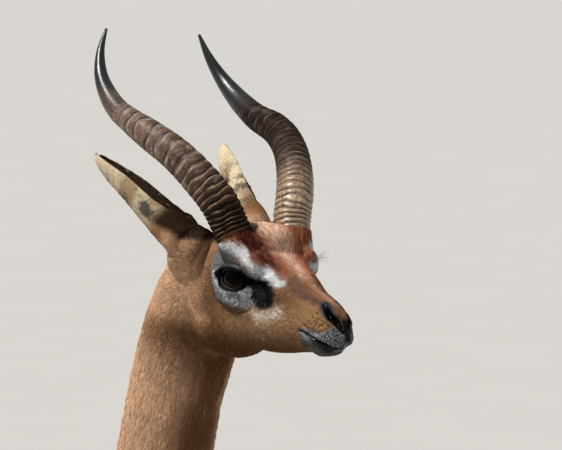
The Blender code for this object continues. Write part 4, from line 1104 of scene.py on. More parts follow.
def coat_lie(points, normals):
    """The way the hair lies: back along the head and trunk, down the neck and legs."""
    local = points - np.array(HEAD)
    ahead, height = points[:, 0] - WITHERS.x, points[:, 2]
    head = np.tile([-1.0, 0.0, -0.12], (len(points), 1))
    crown = ramp(local[:, 2], 0.012, 0.030) * ramp(local[:, 0], 0.07, 0.03)
    head += crown[:, None] * [0.0, 0.0, 0.9]
    head[:, 1] += np.sign(local[:, 1]) * 0.35 * crown
    cheek = ramp(local[:, 2], -0.015, -0.045) * ramp(local[:, 0], 0.06, 0.0)
    head += cheek[:, None] * [0.3, 0.0, -0.7]
    ways = mixed(head, (-0.42, 0.0, -0.90), ramp(below_join(points), -0.09, 0.02))
    ways = mixed(ways, (-1.0, 0.0, -0.32), ramp(ahead, 0.16, 0.02) * ramp(height, 1.05, 0.93))
    ways = mixed(ways, (-0.08, 0.0, -1.0), ramp(height, 0.70, 0.56))
    waves = crown * ramp(local[:, 0], -0.03, 0.0)
    ways += 0.10 * drift(points, 0.05, 21) + (0.30 * waves)[:, None] * drift(points, 0.009, 24)
    ways -= normals * np.sum(ways * normals, axis=1)[:, None]
    return unit(ways)


def coat_length(points):
    """Length of a tuft: shortest on the muzzle and feet, longer on the brow, longest on the trunk."""
    local = points - np.array(HEAD)
    face = 0.0020 + 0.0022 * ramp(local[:, 0], 0.115, 0.03)
    eye = np.linalg.norm(mirrored(points) - np.array(EYE_CENTRE), axis=1)
    face = face - 0.0016 * ramp(eye, 0.050, 0.034)
    crown = ramp(local[:, 2], 0.016, 0.030) * ramp(local[:, 0], 0.055, 0.030)
    crown *= ramp(local[:, 0], -0.05, -0.02) * ramp(height_line(mirrored(points), BROW_LINE), -0.003, 0.002)
    face = face + 0.0030 * crown
    length = face + (0.0062 - face) * ramp(below_join(points), -0.08, 0.02)
    trunk = ramp(points[:, 2], 1.15, 0.95)
    length = length + 0.0028 * trunk
    length = length * (1 - 0.45 * ramp(points[:, 2], 0.45, 0.15))
    return length + 0.0050 * ramp(points[:, 2], 0.064, 0.050)


# Tufts


def sample(mesh, density, seed, flat=None):
    """Random points on a mesh, their normals, and the same points on its flat places."""
    points, normals, triangles = points_of(mesh), normals_of(mesh), triangles_of(mesh)
    corners = points[triangles]
    areas = np.linalg.norm(np.cross(corners[:, 1] - corners[:, 0], corners[:, 2] - corners[:, 0]), axis=1) / 2
    weights = areas * density(corners.mean(axis=1))
    draw = np.random.default_rng(seed)
    count = int(weights.sum())
    chosen = np.searchsorted(np.cumsum(weights), draw.random(count) * weights.sum())
    chosen = np.minimum(chosen, len(triangles) - 1)
    a, b = draw.random(count), draw.random(count)
    flip = a + b > 1
    a, b = np.where(flip, 1 - a, a), np.where(flip, 1 - b, b)
    shares = np.stack([1 - a - b, a, b], axis=1)[:, :, None]
    places = (points if flat is None else flat)[triangles[chosen]]
    normals = unit((normals[triangles[chosen]] * shares).sum(axis=1))
    return (corners[chosen] * shares).sum(axis=1), normals, (places * shares).sum(axis=1)


def tufts(name, roots, normals, ways, lengths, colours, material, chart, seed):
    """Flat-lying closed tufts, four faces each, in pieces of under 200,000 triangles."""
    draw = np.random.default_rng(seed)
    count = len(roots)
    bold = draw.random(count) < BOLD_SHARE
    lengths = lengths * draw.uniform(0.75, 1.2, count) * np.where(bold, BOLD_LENGTH, 1.0)
    ways = unit(ways + 0.10 * draw.normal(size=(count, 3)))
    ways = unit(ways - normals * np.sum(ways * normals, axis=1)[:, None])
    across = np.cross(normals, ways)
    half = lengths * TUFT_WIDTH * draw.uniform(0.75, 1.25, count) * np.where(bold, BOLD_WIDTH, 1.0) / 2
    raised = lengths * TUFT_LIFT * draw.uniform(0.5, 1.5, count) * np.where(bold, BOLD_LIFT, 1.0)
    half, raised, lengths = half[:, None], raised[:, None], lengths[:, None]
    root = roots - normals * 0.0005
    ridge = roots + normals * half * 0.8 + ways * lengths * 0.25
    tip = roots + ways * lengths + normals * raised
    points = np.stack([root - across * half, root + across * half, ridge, tip], axis=1)
    rounded = [normals - across * 0.75, normals + across * 0.75, normals - ways * 0.2, normals + ways * 0.3]
    rounded = unit(np.stack(rounded, axis=1))
    faces = np.array([[0, 2, 1], [0, 3, 2], [2, 3, 1], [1, 3, 0]])
    spread = draw.normal(0.0, 1.0, count) * np.where(bold, BOLD_SPREAD, SHADE_SPREAD)
    # Painted shade at each tuft's root and painted light at its tip
    shades = (colours * np.exp(spread)[:, None])[:, None, :] * np.array(TUFT_SHADE_AND_LIGHT)[None, :, None]
    corners = chart(roots)[:, None, :] + np.array([[-1, -1], [1, -1], [0, 0], [0, 1]]) * 0.0014
    for part, start in enumerate(range(0, count, TUFTS_A_PIECE)):
        some = slice(start, min(start + TUFTS_A_PIECE, count))
        triangles = (faces[None] + 4 * np.arange(some.stop - start)[:, None, None]).reshape(-1, 3)
        mesh = mesh_from(name, points[some].reshape(-1, 3), triangles)
        set_colours(mesh, shades[some].reshape(-1, 3))
        set_chart(mesh, corners[some].reshape(-1, 2)[triangles.ravel()])
        mesh.normals_split_custom_set_from_vertices(rounded[some].reshape(-1, 3).tolist())
        piece(f"{name}_{part + 1}", mesh, material, "hide")


def round_chart(points, origin, axis, length, tile=(0, 0), tiles=1):
    """Unwrap round an axis: the angle across and the place along, in one tile of the map."""
    axis = unit(np.asarray(axis, float))
    offset = points - np.asarray(origin)
    along = offset @ axis / length
    side = np.array([0.0, 1.0, 0.0])
    up = np.cross(axis, side)
    angle = np.arctan2(offset @ side, offset @ up) / (2 * math.pi) + 0.5
    place = np.stack([0.02 + 0.96 * angle, 0.02 + 0.96 * np.clip(along, 0, 1)], axis=1)
    return (place + np.array(tile)) / tiles


def head_chart(points):
    return round_chart(points, np.array(HEAD) + [-0.14, 0, -0.015], (1, 0, 0), 0.30)


def neck_chart(points):
    return round_chart(points, np.array(WITHERS) + [-0.02, 0, 0.80], (0.42, 0, 0.90), 0.62)


def trunk_chart(points):
    return round_chart(points, np.array(WITHERS) + [-0.80, 0, 0.80], (1, 0, 0), 1.0)


def leg_chart(points):
    """Each leg has a quarter of the map."""
    made = np.zeros((len(points), 2))
    for index, (which, side) in enumerate(FEET):
        low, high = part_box(f"leg_{which}_{side}")
        in_front = points[:, 0] > WITHERS.x - 0.35
        near = (np.sign(points[:, 1]) == SIDES[side]) & (in_front == (which == "front"))
        origin = ((low[0] + high[0]) / 2, (low[1] + high[1]) / 2, 0.0)
        made[near] = round_chart(points[near], origin, (0, 0, 1), 0.80, (index % 2, index // 2), 2)
    return made


def coat(skin, flat, material):
    """The short coat over the whole skin."""
    eye_centre = np.array(EYE_CENTRE)

    def where(places):
        head = below_join(places) < -0.02
        legs = places[:, 2] < 0.60
        neck = (~head) & (places[:, 2] > 0.99) & (places[:, 0] > WITHERS.x + 0.05)
        return head, neck, legs, ~(head | neck | legs)

    def density(places):
        made = sum(region * number for region, number in zip(where(places), COAT_DENSITY.values()))
        near_eye = np.linalg.norm(mirrored(places) - eye_centre, axis=1) < EYE_RADIUS + 0.0008
        return np.where(near_eye, 0.0, made)

    roots, normals, places = sample(skin, density, 11, flat)
    ways, lengths = coat_lie(roots, normals), coat_length(roots)
    colours, bare, specks = coat_colours(places + ways * (lengths * 0.5)[:, None], normals)
    strand = 0.16 * wobble(roots, 0.0027, 14) + 0.12 * wobble(roots, 0.0050, 15)
    strand *= 1 + 0.7 * ramp(below_join(roots), -0.02, -0.06)
    colours *= np.exp(strand)[:, None]
    draw = np.random.default_rng(12)
    keep = draw.random(len(roots)) > bare * 1.6
    roots, normals, colours, specks = roots[keep], normals[keep], colours[keep], specks[keep]
    ways, lengths = ways[keep], lengths[keep]
    dark = draw.random(len(roots)) < specks
    colours = np.where(dark[:, None], colours * 0.20, colours * (1 + 0.20 * specks)[:, None])
    charts = (head_chart, neck_chart, leg_chart, trunk_chart)
    for seed, (name, chosen, chart) in enumerate(zip(COAT_DENSITY, where(roots), charts)):
        parts = (values[chosen] for values in (roots, normals, ways, lengths, colours))
        tufts(name, *parts, material, chart, seed=31 + seed)


# Eyes


def on_head(place, side):
    return HEAD + Vector((place[0], place[1] * side, place[2]))


def eye_frame(side):
    """Centre of an eye, the way it looks, and the long and short axes of its opening."""
    aim = Vector((EYE_AIM[0], EYE_AIM[1] * side, EYE_AIM[2])).normalized()
    ahead = Vector((0, 0, 1)).cross(aim).normalized() * -side
    up = (Vector((0, 0, 1)) - aim * aim.z).normalized()
    tilt = math.radians(EYE_TILT)
    long_axis = ahead * math.cos(tilt) - up * math.sin(tilt)
    short_axis = up * math.cos(tilt) + ahead * math.sin(tilt)
    return [np.array(found) for found in (on_head(EYE_CENTRE, side), aim, long_axis, short_axis)]


def eye(side_name, side, material):
    """An eyeball with a slightly bulging front, coloured as a dark iris round a wide pupil."""
    centre, aim, long_axis, short_axis = eye_frame(side)
    rows, columns = 48, 64
    tilt = np.linspace(0.0, math.pi, rows)[:, None]
    turn = turns(columns)[None, :]
    flat = long_axis * np.cos(turn)[..., None] + short_axis * np.sin(turn)[..., None]
    ways = aim * np.cos(tilt)[..., None] + flat * np.sin(tilt)[..., None]
    radius = EYE_RADIUS * (0.985 + 0.02 * np.exp(-((tilt / 0.55) ** 2)))[..., None]
    mesh = rings_mesh(f"eye_{side_name}", (centre + ways * radius)[1:-1])
    offset = points_of(mesh) - centre
    along, up = offset @ long_axis / EYE_RADIUS, offset @ short_axis / EYE_RADIUS
    pupil = soft(np.sqrt((along / 0.50) ** 2 + (up / 0.24) ** 2) - 1, 0.05)
    edge = ramp(np.sqrt(along**2 + up**2), 0.50, 0.66)
    layers = [
        # Painted shade of the upper lid on the top of the iris
        (srgb(7, 6, 5), ramp(up, -0.20, 0.12)),
        (srgb(4, 4, 5), pupil),
        (srgb(4, 3, 3), edge),
    ]
    set_colours(mesh, layered(srgb(34, 26, 17), layers))
    piece(f"eyeball_{side_name}", mesh, material, "eye", f"eye_{side_name}")


def lid_path(side, count=96):
    """Places round the edge of the lids, on the eyeball."""
    centre, aim, long_axis, short_axis = eye_frame(side)
    half, upper, lower = EYE_OPENING
    angles = turns(count)
    height = np.where(np.sin(angles) > 0, upper, lower)
    lift = np.sign(np.sin(angles)) * np.abs(np.sin(angles)) ** 1.15 * height
    flat = long_axis * (np.cos(angles) * half)[:, None] + short_axis * lift[:, None]
    radius = EYE_RADIUS + LID_THICKNESS * 0.35
    depth = np.sqrt(np.maximum(radius**2 - np.sum(flat**2, axis=1), 0.0))
    return centre + flat + aim * depth[:, None], angles


def lids(side_name, side, material):
    """The black, moist rim of the lids."""
    path, angles = lid_path(side)
    outward = unit(path - eye_frame(side)[0])
    along = unit(np.roll(path, -1, axis=0) - np.roll(path, 1, axis=0))
    across = unit(np.cross(along, outward))
    thick = 0.0013 + 0.0004 * np.maximum(np.sin(angles), 0)
    sides = 12
    points = path[:, None] + round_ways(across * 1.5, outward, turns(sides)) * thick[:, None, None]
    triangles = grid_triangles(len(path), sides, True)
    last = (len(path) - 1) * sides
    k = np.arange(sides)
    after = (k + 1) % sides
    close = np.vstack([np.stack([last + k, last + after, after], -1), np.stack([last + k, after, k], -1)])
    mesh = mesh_from(f"lids_{side_name}", points.reshape(-1, 3), np.vstack([triangles, close]))
    face_outwards(mesh)
    set_colours(mesh, np.tile(BLACK * 0.8, (len(mesh.vertices), 1)), 0.9)
    piece(f"lids_{side_name}", mesh, material, "hide")


def spikes(name, roots, ways, bends, lengths, widths, colour, material, chart=head_chart):
    """Long single hairs or locks that curve and taper, as closed three-sided meshes."""
    steps = np.array([0.0, 0.35, 0.7])
    count = len(roots)
    side = unit(np.cross(ways, bends))
    lengths, widths = np.asarray(lengths)[:, None], np.asarray(widths)[:, None]
    points = []
    for step in steps:
        centre = roots + ways * lengths * step + bends * lengths * step**2
        half = widths * (1 - 0.75 * step) / 2
        third = unit(np.cross(side, ways))
        for angle in (0.0, 2.094, 4.189):
            points.append(centre + (side * math.cos(angle) + third * math.sin(angle)) * half)
    points.append(roots + ways * lengths + bends * lengths)
    points = np.stack(points, axis=1)
    faces = [(0, 2, 1)]
    for row in (0, 3):
        for k in range(3):
            after = (k + 1) % 3
            faces += [(row + k, row + after, row + 3 + after), (row + k, row + 3 + after, row + 3 + k)]
    faces += [(6, 7, 9), (7, 8, 9), (8, 6, 9)]
    triangles = (np.array(faces)[None, :, ::-1] + 10 * np.arange(count)[:, None, None]).reshape(-1, 3)
    mesh = mesh_from(name, points.reshape(-1, 3), triangles)
    shades = np.repeat(np.broadcast_to(colour, (count, 3)), 10, axis=0)
    set_colours(mesh, shades)
    around = np.array([[k % 3 - 1, k // 3 - 1] for k in range(10)]) * 0.0007
    corners = chart(roots)[:, None, :] + around
    set_chart(mesh, corners.reshape(-1, 2)[triangles.ravel()])
    piece(name, mesh, material, "hide")


def brow_hairs(side_name, side, material, skin):
    """A few long, fine hairs that stand out from the brow."""
    draw = np.random.default_rng(45 + side)
    tree = BVHTree.FromPolygons(points_of(skin).tolist(), triangles_of(skin).tolist())
    count = 15
    ahead, above = draw.uniform(0.004, 0.034, count), draw.uniform(0.014, 0.026, count)
    starts = [on_head((x, 0.060, z), side) for x, z in zip(ahead, above)]
    roots = np.array([tree.find_nearest(start)[0] for start in starts])
    ways = unit(np.array([0.52, 0.60 * side, 0.48]) + draw.normal(size=(count, 3)) * 0.16)
    bends = np.tile([0.0, 0.0, -0.15], (count, 1)) + draw.normal(size=(count, 3)) * 0.06
    lengths = draw.uniform(0.009, 0.019, count)
    shade = srgb(58, 46, 36)
    spikes(f"brow_hairs_{side_name}", roots, ways, bends, lengths, np.full(count, 0.00026), shade, material)


def lashes(side_name, side, material):
    """Long dark lashes on the upper lid."""
    path, angles = lid_path(side, 150)
    upper = (np.sin(angles) > 0.15) & (np.cos(angles) < 0.93)
    centre, _, _, short_axis = eye_frame(side)
    roots = path[upper]
    draw = np.random.default_rng(41 + side)
    outward = unit(roots - centre)
    ways = unit(outward * 0.8 + short_axis * 0.1 + draw.normal(size=roots.shape) * 0.10)
    bends = np.tile(short_axis * 0.45, (len(roots), 1))
    lengths = draw.uniform(0.0055, 0.0085, len(roots))
    spikes(f"lashes_{side_name}", roots, ways, bends, lengths, np.full(len(roots), 0.00035), BLACK, material)


# Horns


def horn_line(side, count):
    rows = smooth_rows(HORN, count)
    rows[:, 2] += TIP_LIFT[side] * np.clip((TIP_LIFT_FROM - rows[:, 0]) / TIP_LIFT_REACH, 0, 1)
    rows[:, 1] += BEND_LEAN[side] * np.exp(-(((rows[:, 0] - BEND_AT) / BEND_REACH) ** 2))
    rows[:, 1] *= side
    rows[:, :3] += np.array(HEAD)
    return rows


def horn(side_name, side, material):
    """A ringed horn: crowded, raised and worn rings up to two thirds, then smooth and black to the tip;
    painted shade in the grooves and painted glints on the worn rims.
    """
    rows, sides = 640, 72
    line = horn_line(side, rows)
    across, over = framed(line[:, :3])
    over = -over
    share = np.linspace(0, 1, rows)[:, None]
    angle = turns(sides)[None, :]
    ring = round_ways(over * 1.03, across * 0.95, angle[0])
    smooth = line[:, None, :3] + ring * line[:, 3][:, None, None]

    def patchy(size, seed):
        return wobble(smooth.reshape(-1, 3), size, seed).reshape(rows, sides)

    waver = (0.24 * patchy(0.050, 62 + side) + 0.16 * patchy(0.016, 64 + side)) * ramp(share, 0.0, 0.05)
    phase = table_at(RIDGE_COUNT[side], share)[0] + waver
    turn = np.mod(phase, 1.0) ** 0.85
    groove = np.minimum(turn, 1 - turn)
    dome = np.sin(math.pi * turn) ** (0.62 - 0.34 * ramp(share, 0.12, 0.40))
    ridged = ramp(share, RIDGED_SHARE + 0.04, RIDGED_SHARE - 0.12) * ramp(share, -0.01, 0.03)
    strength = (0.30 + 0.70 * ramp(share, 0.42, 0.04)) * ridged
    front = 0.75 + 0.25 * np.cos(angle - 0.4)
    chips = np.clip(0.80 + 0.35 * patchy(0.012, 66 + side), 0.3, 1.2)
    rough = 0.00016 * patchy(0.0035, 68 + side) * (0.3 + 0.7 * ridged)
    radius = line[:, 3][:, None] * 0.985 + RIDGE_DEPTH * (dome - 0.62) * strength * front * chips + rough
    rings = line[:, None, :3] + ring * radius[..., None]
    mesh = rings_mesh(f"horn_{side_name}", rings)
    shares = np.broadcast_to(share, dome.shape).ravel()
    # Pale rims, partly real wear and partly painted glints
    worn_and_glint = np.exp(-(((turn - 0.76) / 0.085) ** 2)) * np.clip(0.55 + 0.60 * patchy(0.014, 61 + side), 0, 1)
    # Painted shade in the grooves between the rings
    groove_shade = np.exp(-((groove / (0.11 + 0.09 * ramp(share, 0.22, 0.08))) ** 2))
    groove_shade = groove_shade * np.clip(0.75 + 0.4 * patchy(0.02, 70 + side), 0, 1)
    fibre = 0.5 * np.sin(31 * angle + 7 * patchy(0.04, 71)) + 0.5 * np.sin(53 * angle - 9 * patchy(0.03, 72))
    steps, *shades = np.array([(row[0], *srgb(*row[1:])) for row in HORN_TINT_AND_LIGHT[side]]).T
    tint = np.stack([np.interp(shares, steps, shade) for shade in shades], axis=1)
    reddish = np.clip(0.8 * patchy(0.024, 73 + side), 0, 1).ravel() * ramp(shares, 0.75, 0.5)
    # Pale flakes, partly mottling and partly painted highlights
    flake_and_highlight = np.clip(patchy(0.013, 75 + side) - 0.25, 0, 1).ravel()
    flake_and_highlight *= ramp(shares, 0.72, 0.55) * ramp(shares, 0.10, 0.25)
    streak = fibre + 0.6 * patchy(0.009, 77 + side)
    dark_end = ramp(shares + 0.05 * patchy(0.03, 74).ravel() + 0.04 * fibre.ravel(), 0.56, 0.84)
    pale = mixed(srgb(178, 146, 104), srgb(170, 158, 148), ramp(shares, 0.15, 0.35))
    # Painted light on the pale rims: the right horn's lower rims dimmed, the left horn's brightened at the
    # base and dimmed higher up
    if side == RIGHT:
        painted_rim_light = 1.0 - 0.30 * ramp(shares, 0.20, 0.02)
        base_gloss = 0.30 - 0.25 * ramp(shares, 0.24, 0.08)
    else:
        painted_rim_light = 1.15 - 0.90 * ramp(shares, 0.16, 0.32)
        base_gloss = 0.08 + 0.72 * ramp(shares, 0.30, 0.14)
    layers = [
        (srgb(86, 54, 40), reddish * (1.0 if side == RIGHT else 0.4)),
        (srgb(150, 132, 116), flake_and_highlight * (1.0 if side == RIGHT else 0.35)),
        (srgb(44, 34, 28), ramp(streak, 0.1, 1.0).ravel() * 0.55),
        (srgb(20, 18, 18), dark_end),
        (pale * painted_rim_light[:, None], (worn_and_glint * ridged).ravel() * 0.75),
        (srgb(10, 8, 7), (groove_shade * ridged).ravel() * 0.95),
    ]
    tint = layered(tint, layers)
    tint = np.vstack([tint, tint[:1], tint[-1:]])
    tip_gloss = 0.85 * ramp(shares, RIDGED_SHARE - 0.12, RIDGED_SHARE + 0.10)
    set_colours(mesh, tint, np.append(np.maximum(base_gloss, tip_gloss), [0.1, 0.8]))
    piece(f"horn_ringed_{side_name}", mesh, material, "horn", f"horn_{side_name}")


# Ears


def ear_sheet(side, rows, columns):
    """Outer and inner surface of an ear, their shares along and across it, and the ways along it."""
    line = smooth_rows([on_head(place, side) for place in EAR_LINE], rows)
    line += np.linspace(0, 1, rows)[:, None] * EAR_LEAN[side] * [1, side, 1]
    along = unit(np.gradient(line, axis=0))
    opening = np.array(EAR_OPENING[side])
    opening = unit(opening - along * (along @ opening)[:, None])
    across = np.cross(along, opening)
    share = np.linspace(0, 1, rows)
    radius, half_angle = table_at(EAR_CURL, share)
    swing = np.linspace(-1, 1, columns)
    angle = np.radians(half_angle)[:, None] * swing[None, :]
    thick = EAR_THICKNESS * (1 - 0.6 * np.abs(swing[None, :]) ** 3)
    thick = thick * np.minimum(1.0, 0.35 + radius / 0.012)[:, None]
    sway = EAR_SWAY * (radius - EAR_CURL[0][1])
    surfaces = []
    for offset in (0.5, -0.5):
        reach = radius[:, None] + offset * thick
        towards = opening[:, None] * (sway[:, None] - reach * np.cos(angle))[..., None]
        surfaces.append(line[:, None] + towards + across[:, None] * (reach * np.sin(angle))[..., None])
    return surfaces, share, swing, along


def ear(side_name, side, material, tuft_material):
    """An ear as a thin curled sheet, with its coat."""
    rows, columns = 90, 61
    (outer, inner), share, swing, along = ear_sheet(side, rows, columns)
    sink = along[0] * 0.0040
    outer, inner = (np.concatenate([(sheet[0] - sink)[None], sheet]) for sheet in (outer, inner))
    share = np.concatenate([[0.0], share])
    total = (rows + 1) * columns
    outer_faces = grid_triangles(rows + 1, columns, False)
    inner_faces = outer_faces[:, ::-1] + total
    rim = []
    edges = [np.arange(rows + 1) * columns + edge for edge in (0, columns - 1)]
    edges += [row * columns + np.arange(columns) for row in (0, rows)]
    for edge in edges:
        low, high = edge[:-1], edge[1:]
        rim += [np.stack([low, high, high + total], -1), np.stack([low, high + total, low + total], -1)]
    points = np.vstack([outer.reshape(-1, 3), inner.reshape(-1, 3)])
    mesh = mesh_from(f"ear_{side_name}", points, np.vstack([outer_faces, inner_faces, *rim]))
    face_outwards(mesh)
    shares = np.tile(np.repeat(share, columns), 2)
    swings = np.tile(np.tile(swing, rows + 1), 2)
    inside = np.arange(2 * total) >= total
    set_colours(mesh, ear_colours(side, points, shares, swings, inside))
    piece(f"ear_skin_{side_name}", mesh, material, "hide", f"ear_{side_name}")
    ear_coat(side_name, side, mesh, shares, swings, inside, along, tuft_material)


def ear_colours(side, points, shares, swings, inside):
    """Sand outside with dark blotches low down and brown at the root, lighter on the left ear as painted
    light; the inside, and the right ear's hollow, dark as painted shade.
    """
    near = side == RIGHT
    mottle = wobble(points, 0.018, 71 + side)
    tinge = ramp(wobble(points, 0.030, 75), -0.4, 0.5) * ramp(shares, 0.90, 0.50)
    start = 0.10 if near else -0.20
    blotch = ramp(mottle + 0.5 * wobble(points, 0.006, 77), start, start + 0.65)
    blotch *= ramp(shares, 0.66, 0.50) * ramp(shares, 0.10, 0.26)
    speckle = ramp(wobble(points, 0.0032, 72) + 0.4 * mottle, 0.30, 0.8) * 0.55
    # Painted shade of the right ear's hollow runs on down to its root
    hollow_shade = ramp(np.abs(swings), 0.45, 0.62) * ramp(shares, 0.30, 0.16) * near
    layers = [
        (srgb(140, 112, 82), tinge * 0.8),
        (EAR_DARK, blotch * (0.85 if near else 0.72)),
        (EAR_ORANGE, ramp(shares, 0.30, 0.12) * (1 - 0.5 * blotch)),
        (NECK_BROWN, ramp(shares, 0.14, 0.02)),
        (EAR_DARK, speckle * ramp(shares, 1.0, 0.6) * ramp(shares, 0.05, 0.2)),
        (EAR_INSIDE_PAINTED_SHADE, hollow_shade),
    ]
    # The left ear's sand is lighter as painted light
    colours = layered(EAR_SAND * (1.0 if near else 1.22), layers)
    # The inside is painted shade
    return np.where(inside[:, None], EAR_INSIDE_PAINTED_SHADE, colours)


def ear_coat(side_name, side, mesh, shares, swings, inside, along, material):
    """Short hair over the outside and along the edges, longer hair inside."""
    steps = np.linspace(0, 1, len(along))
    lookup = Lookup(np.column_stack([points_of(mesh), shares, swings, inside.astype(float)]))

    def chart_of(roots):
        found = lookup.values(roots)
        half = 0.5 * (found[:, 1] * 0.5 + 0.5) + 0.5 * (found[:, 2] > 0.5)
        return np.stack([0.02 + 0.96 * half, 0.02 + 0.96 * found[:, 0]], axis=1)

    roots, normals, _ = sample(mesh, lambda places: np.full(len(places), EAR_DENSITY), 81 + side)
    found = lookup.values(roots)
    share, swing, within = found[:, 0], found[:, 1], found[:, 2] > 0.5
    ways = np.stack([np.interp(share, steps, along[:, axis]) for axis in range(3)], axis=1)
    colours = ear_colours(side, roots, share, swing, within)
    colours *= (1 + 0.12 * wobble(roots, 0.004, 76))[:, None]
    edge = ramp(np.abs(swing), 0.90, 1.0)
    lengths = np.where(within, 0.0060, 0.0036) * (1 - 0.35 * edge) * (1 - 0.35 * ramp(share, 0.85, 1.0))
    tufts(f"coat_ear_{side_name}", roots, normals, ways, lengths, colours, material, chart_of, seed=83 + side)


class Lookup:
    """Reads the values kept at the nearest of some places."""

    def __init__(self, guide):
        self.guide = guide
        self.cell = 0.004
        self.low = guide[:, :3].min(axis=0)
        keys = self.keys(guide[:, :3])
        self.order = np.argsort(keys, kind="stable")
        self.sorted_keys = keys[self.order]

    def keys(self, points):
        cells = np.floor((points - self.low) / self.cell).astype(np.int64) + 2
        return cells[:, 0] * 1000003 + cells[:, 1] * 1009 + cells[:, 2]

    def values(self, points):
        """Values at the nearest guide place in the 27 cells round each point."""
        best = np.full(len(points), 1e9)
        found = np.zeros((len(points), self.guide.shape[1] - 3))
        for shift in np.ndindex(3, 3, 3):
            moved = points + (np.array(shift) - 1) * self.cell
            keys = self.keys(moved)
            start = np.searchsorted(self.sorted_keys, keys, side="left")
            for step in range(8):
                index = np.minimum(start + step, len(self.order) - 1)
                same = self.sorted_keys[index] == keys
                rows = self.guide[self.order[index]]
                distance = np.where(same, np.linalg.norm(rows[:, :3] - points, axis=1), 1e9)
                nearer = distance < best
                best = np.where(nearer, distance, best)
                found = np.where(nearer[:, None], rows[:, 3:], found)
        return found


# Hooves and tail


def hoof(name, material):
    """A claw rounded from its solid, with growth rings in its material."""
    shape = bmesh.new()
    shape.from_mesh(NODES[name].data)
    bmesh.ops.remove_doubles(shape, verts=shape.verts, dist=1e-6)
    bmesh.ops.dissolve_limit(shape, angle_limit=0.02, verts=shape.verts, edges=shape.edges)
    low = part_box(name)[0][2]
    crease = shape.edges.layers.float.new("crease_edge")
    for edge in shape.edges:
        level = all(abs(vertex.co.z - low) < 1e-4 for vertex in edge.verts)
        edge[crease] = 0.9 if level else 0.35
    made = piece(f"claw_{name}", to_mesh(shape, name), material, "hoof", name)
    made.data.shade_smooth()
    rounding = made.modifiers.new("rounding", "SUBSURF")
    rounding.levels = 3
    rounding.render_levels = 3


def tail_brush(material):
    """The black brush at the end of the tail: long locks that hang and overlap."""
    draw = np.random.default_rng(91)
    tail = tail_path(101)
    rows = tail[draw.integers(42, 99, BRUSH_LOCKS)]
    angle = draw.uniform(0, 2 * math.pi, BRUSH_LOCKS)
    out = np.stack([np.cos(angle), np.sin(angle), np.zeros(BRUSH_LOCKS)], axis=1)
    roots = rows[:, :3] + out * rows[:, 3:4] * 0.7
    ways = unit(out * 0.16 + [0, 0, -1.0] + draw.normal(size=(BRUSH_LOCKS, 3)) * 0.05)
    bends = -out * 0.10 + draw.normal(size=(BRUSH_LOCKS, 3)) * 0.02
    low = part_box("tail")[0][2]
    lengths = np.minimum(draw.uniform(0.7, 1.05, BRUSH_LOCKS) * BRUSH_LENGTH, roots[:, 2] - low - 0.002)
    widths = draw.uniform(0.0018, 0.0034, BRUSH_LOCKS)
    shades = BRUSH_BLACK * draw.uniform(0.6, 1.5, (BRUSH_LOCKS, 1))
    spikes("tail_brush", roots, ways, bends, lengths, widths, shades, material, trunk_chart)


# Surroundings


def stage_floor():
    shape = bmesh.new()
    bmesh.ops.create_circle(shape, cap_ends=True, radius=160.0, segments=96)
    new_object("floor", to_mesh(shape, "floor"), floor_material())


def view_axes():
    turn, lift = math.radians(CAMERA_AZIMUTH), math.radians(CAMERA_ELEVATION)
    right = Vector((math.cos(turn), math.sin(turn), 0))
    back = Vector((math.sin(turn) * math.cos(lift), -math.cos(turn) * math.cos(lift), math.sin(lift)))
    return right, back.cross(right), back


def light(name, way, energy, angle, colour):
    """A soft sun that shines from a way."""
    data = bpy.data.lights.new(name, "SUN")
    data.energy = energy
    data.angle = math.radians(angle)
    data.color = colour
    new_object(name, data).rotation_euler = way.to_track_quat("Z", "Y").to_euler()


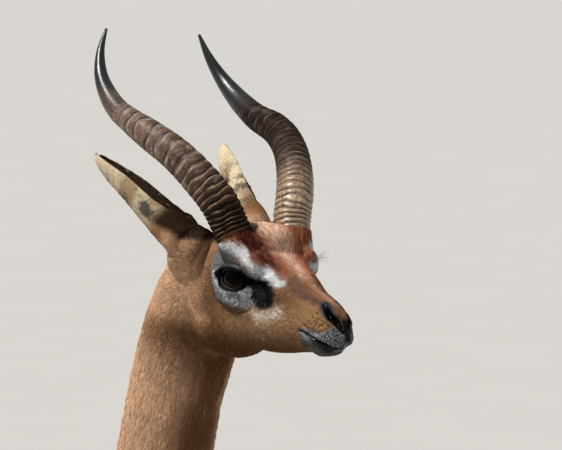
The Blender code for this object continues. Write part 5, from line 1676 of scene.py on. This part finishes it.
def camera_and_light():
    right, up, back = view_axes()
    data = bpy.data.cameras.new("camera")
    data.sensor_width = SENSOR
    data.lens = SENSOR * CAMERA_DISTANCE / VIEW_WIDTH
    data.clip_end = 400
    camera = new_object("camera", data)
    camera.location = HEAD + right * AIM_RIGHT + up * AIM_UP + back * CAMERA_DISTANCE
    camera.rotation_euler = back.to_track_quat("Z", "Y").to_euler()
    bpy.context.scene.camera = camera
    light("key", -right * 0.56 + up * 0.80 + back * 0.22, 4.0, 5, (1.0, 0.97, 0.93))
    light("fill", right * 0.45 + up * 0.20 + back * 0.85, 0.30, 50, (0.92, 0.96, 1.0))
    world = bpy.data.worlds.new("studio")
    world.use_nodes = True
    background = world.node_tree.nodes["Background"]
    background.inputs["Color"].default_value = (0.86, 0.90, 0.96, 1)
    background.inputs["Strength"].default_value = 0.36
    bpy.context.scene.world = world
    bpy.context.scene.view_settings.view_transform = "Standard"


def skin_object(material):
    """One skin for the head, neck, trunk, legs and tail, and its places before the folds were pressed in."""
    whole = bmesh.new()
    head, head_flat = head_skin()
    body = body_skin()
    for mesh in (head, body):
        whole.from_mesh(mesh)
    flat = np.vstack([head_flat, points_of(body)])
    mesh = to_mesh(whole, "skin")
    mesh.shade_smooth()
    colours, bare, specks = coat_colours(flat, normals_of(mesh))
    dark = np.random.default_rng(17).random(len(colours)) < specks * 0.8
    colours = np.where(dark[:, None], colours * 0.3, colours)
    set_colours(mesh, colours * 0.92, bare)
    flesh = ["head", "neck", "torso", "tail"] + [f"leg_{which}_{side}" for which, side in FEET]
    return piece("skin", mesh, material, "hide", *flesh), flat


def main():
    camera_and_light()
    stage_floor()
    skin_material = skin_surface()
    hair = {"Roughness": 0.55, "Sheen_Weight": 0.012, "Specular_IOR_Level": 0.07}
    tuft_material, *_ = coat_material("coat_hair", 0.06, 1400, 0.0001, **hair)
    skin, flat = skin_object(skin_material)
    coat(skin.data, flat, tuft_material)
    eye_surface, horn_surface, hoof_surface = eye_material(), horn_material(), hoof_material()
    for side_name, side in SIDES.items():
        eye(side_name, side, eye_surface)
        lids(side_name, side, skin_material)
        lashes(side_name, side, tuft_material)
        brow_hairs(side_name, side, tuft_material, skin.data)
        horn(side_name, side, horn_surface)
        ear(side_name, side, skin_material, tuft_material)
    for name in NODES:
        if name.startswith("hoof"):
            hoof(name, hoof_surface)
    tail_brush(tuft_material)


main()
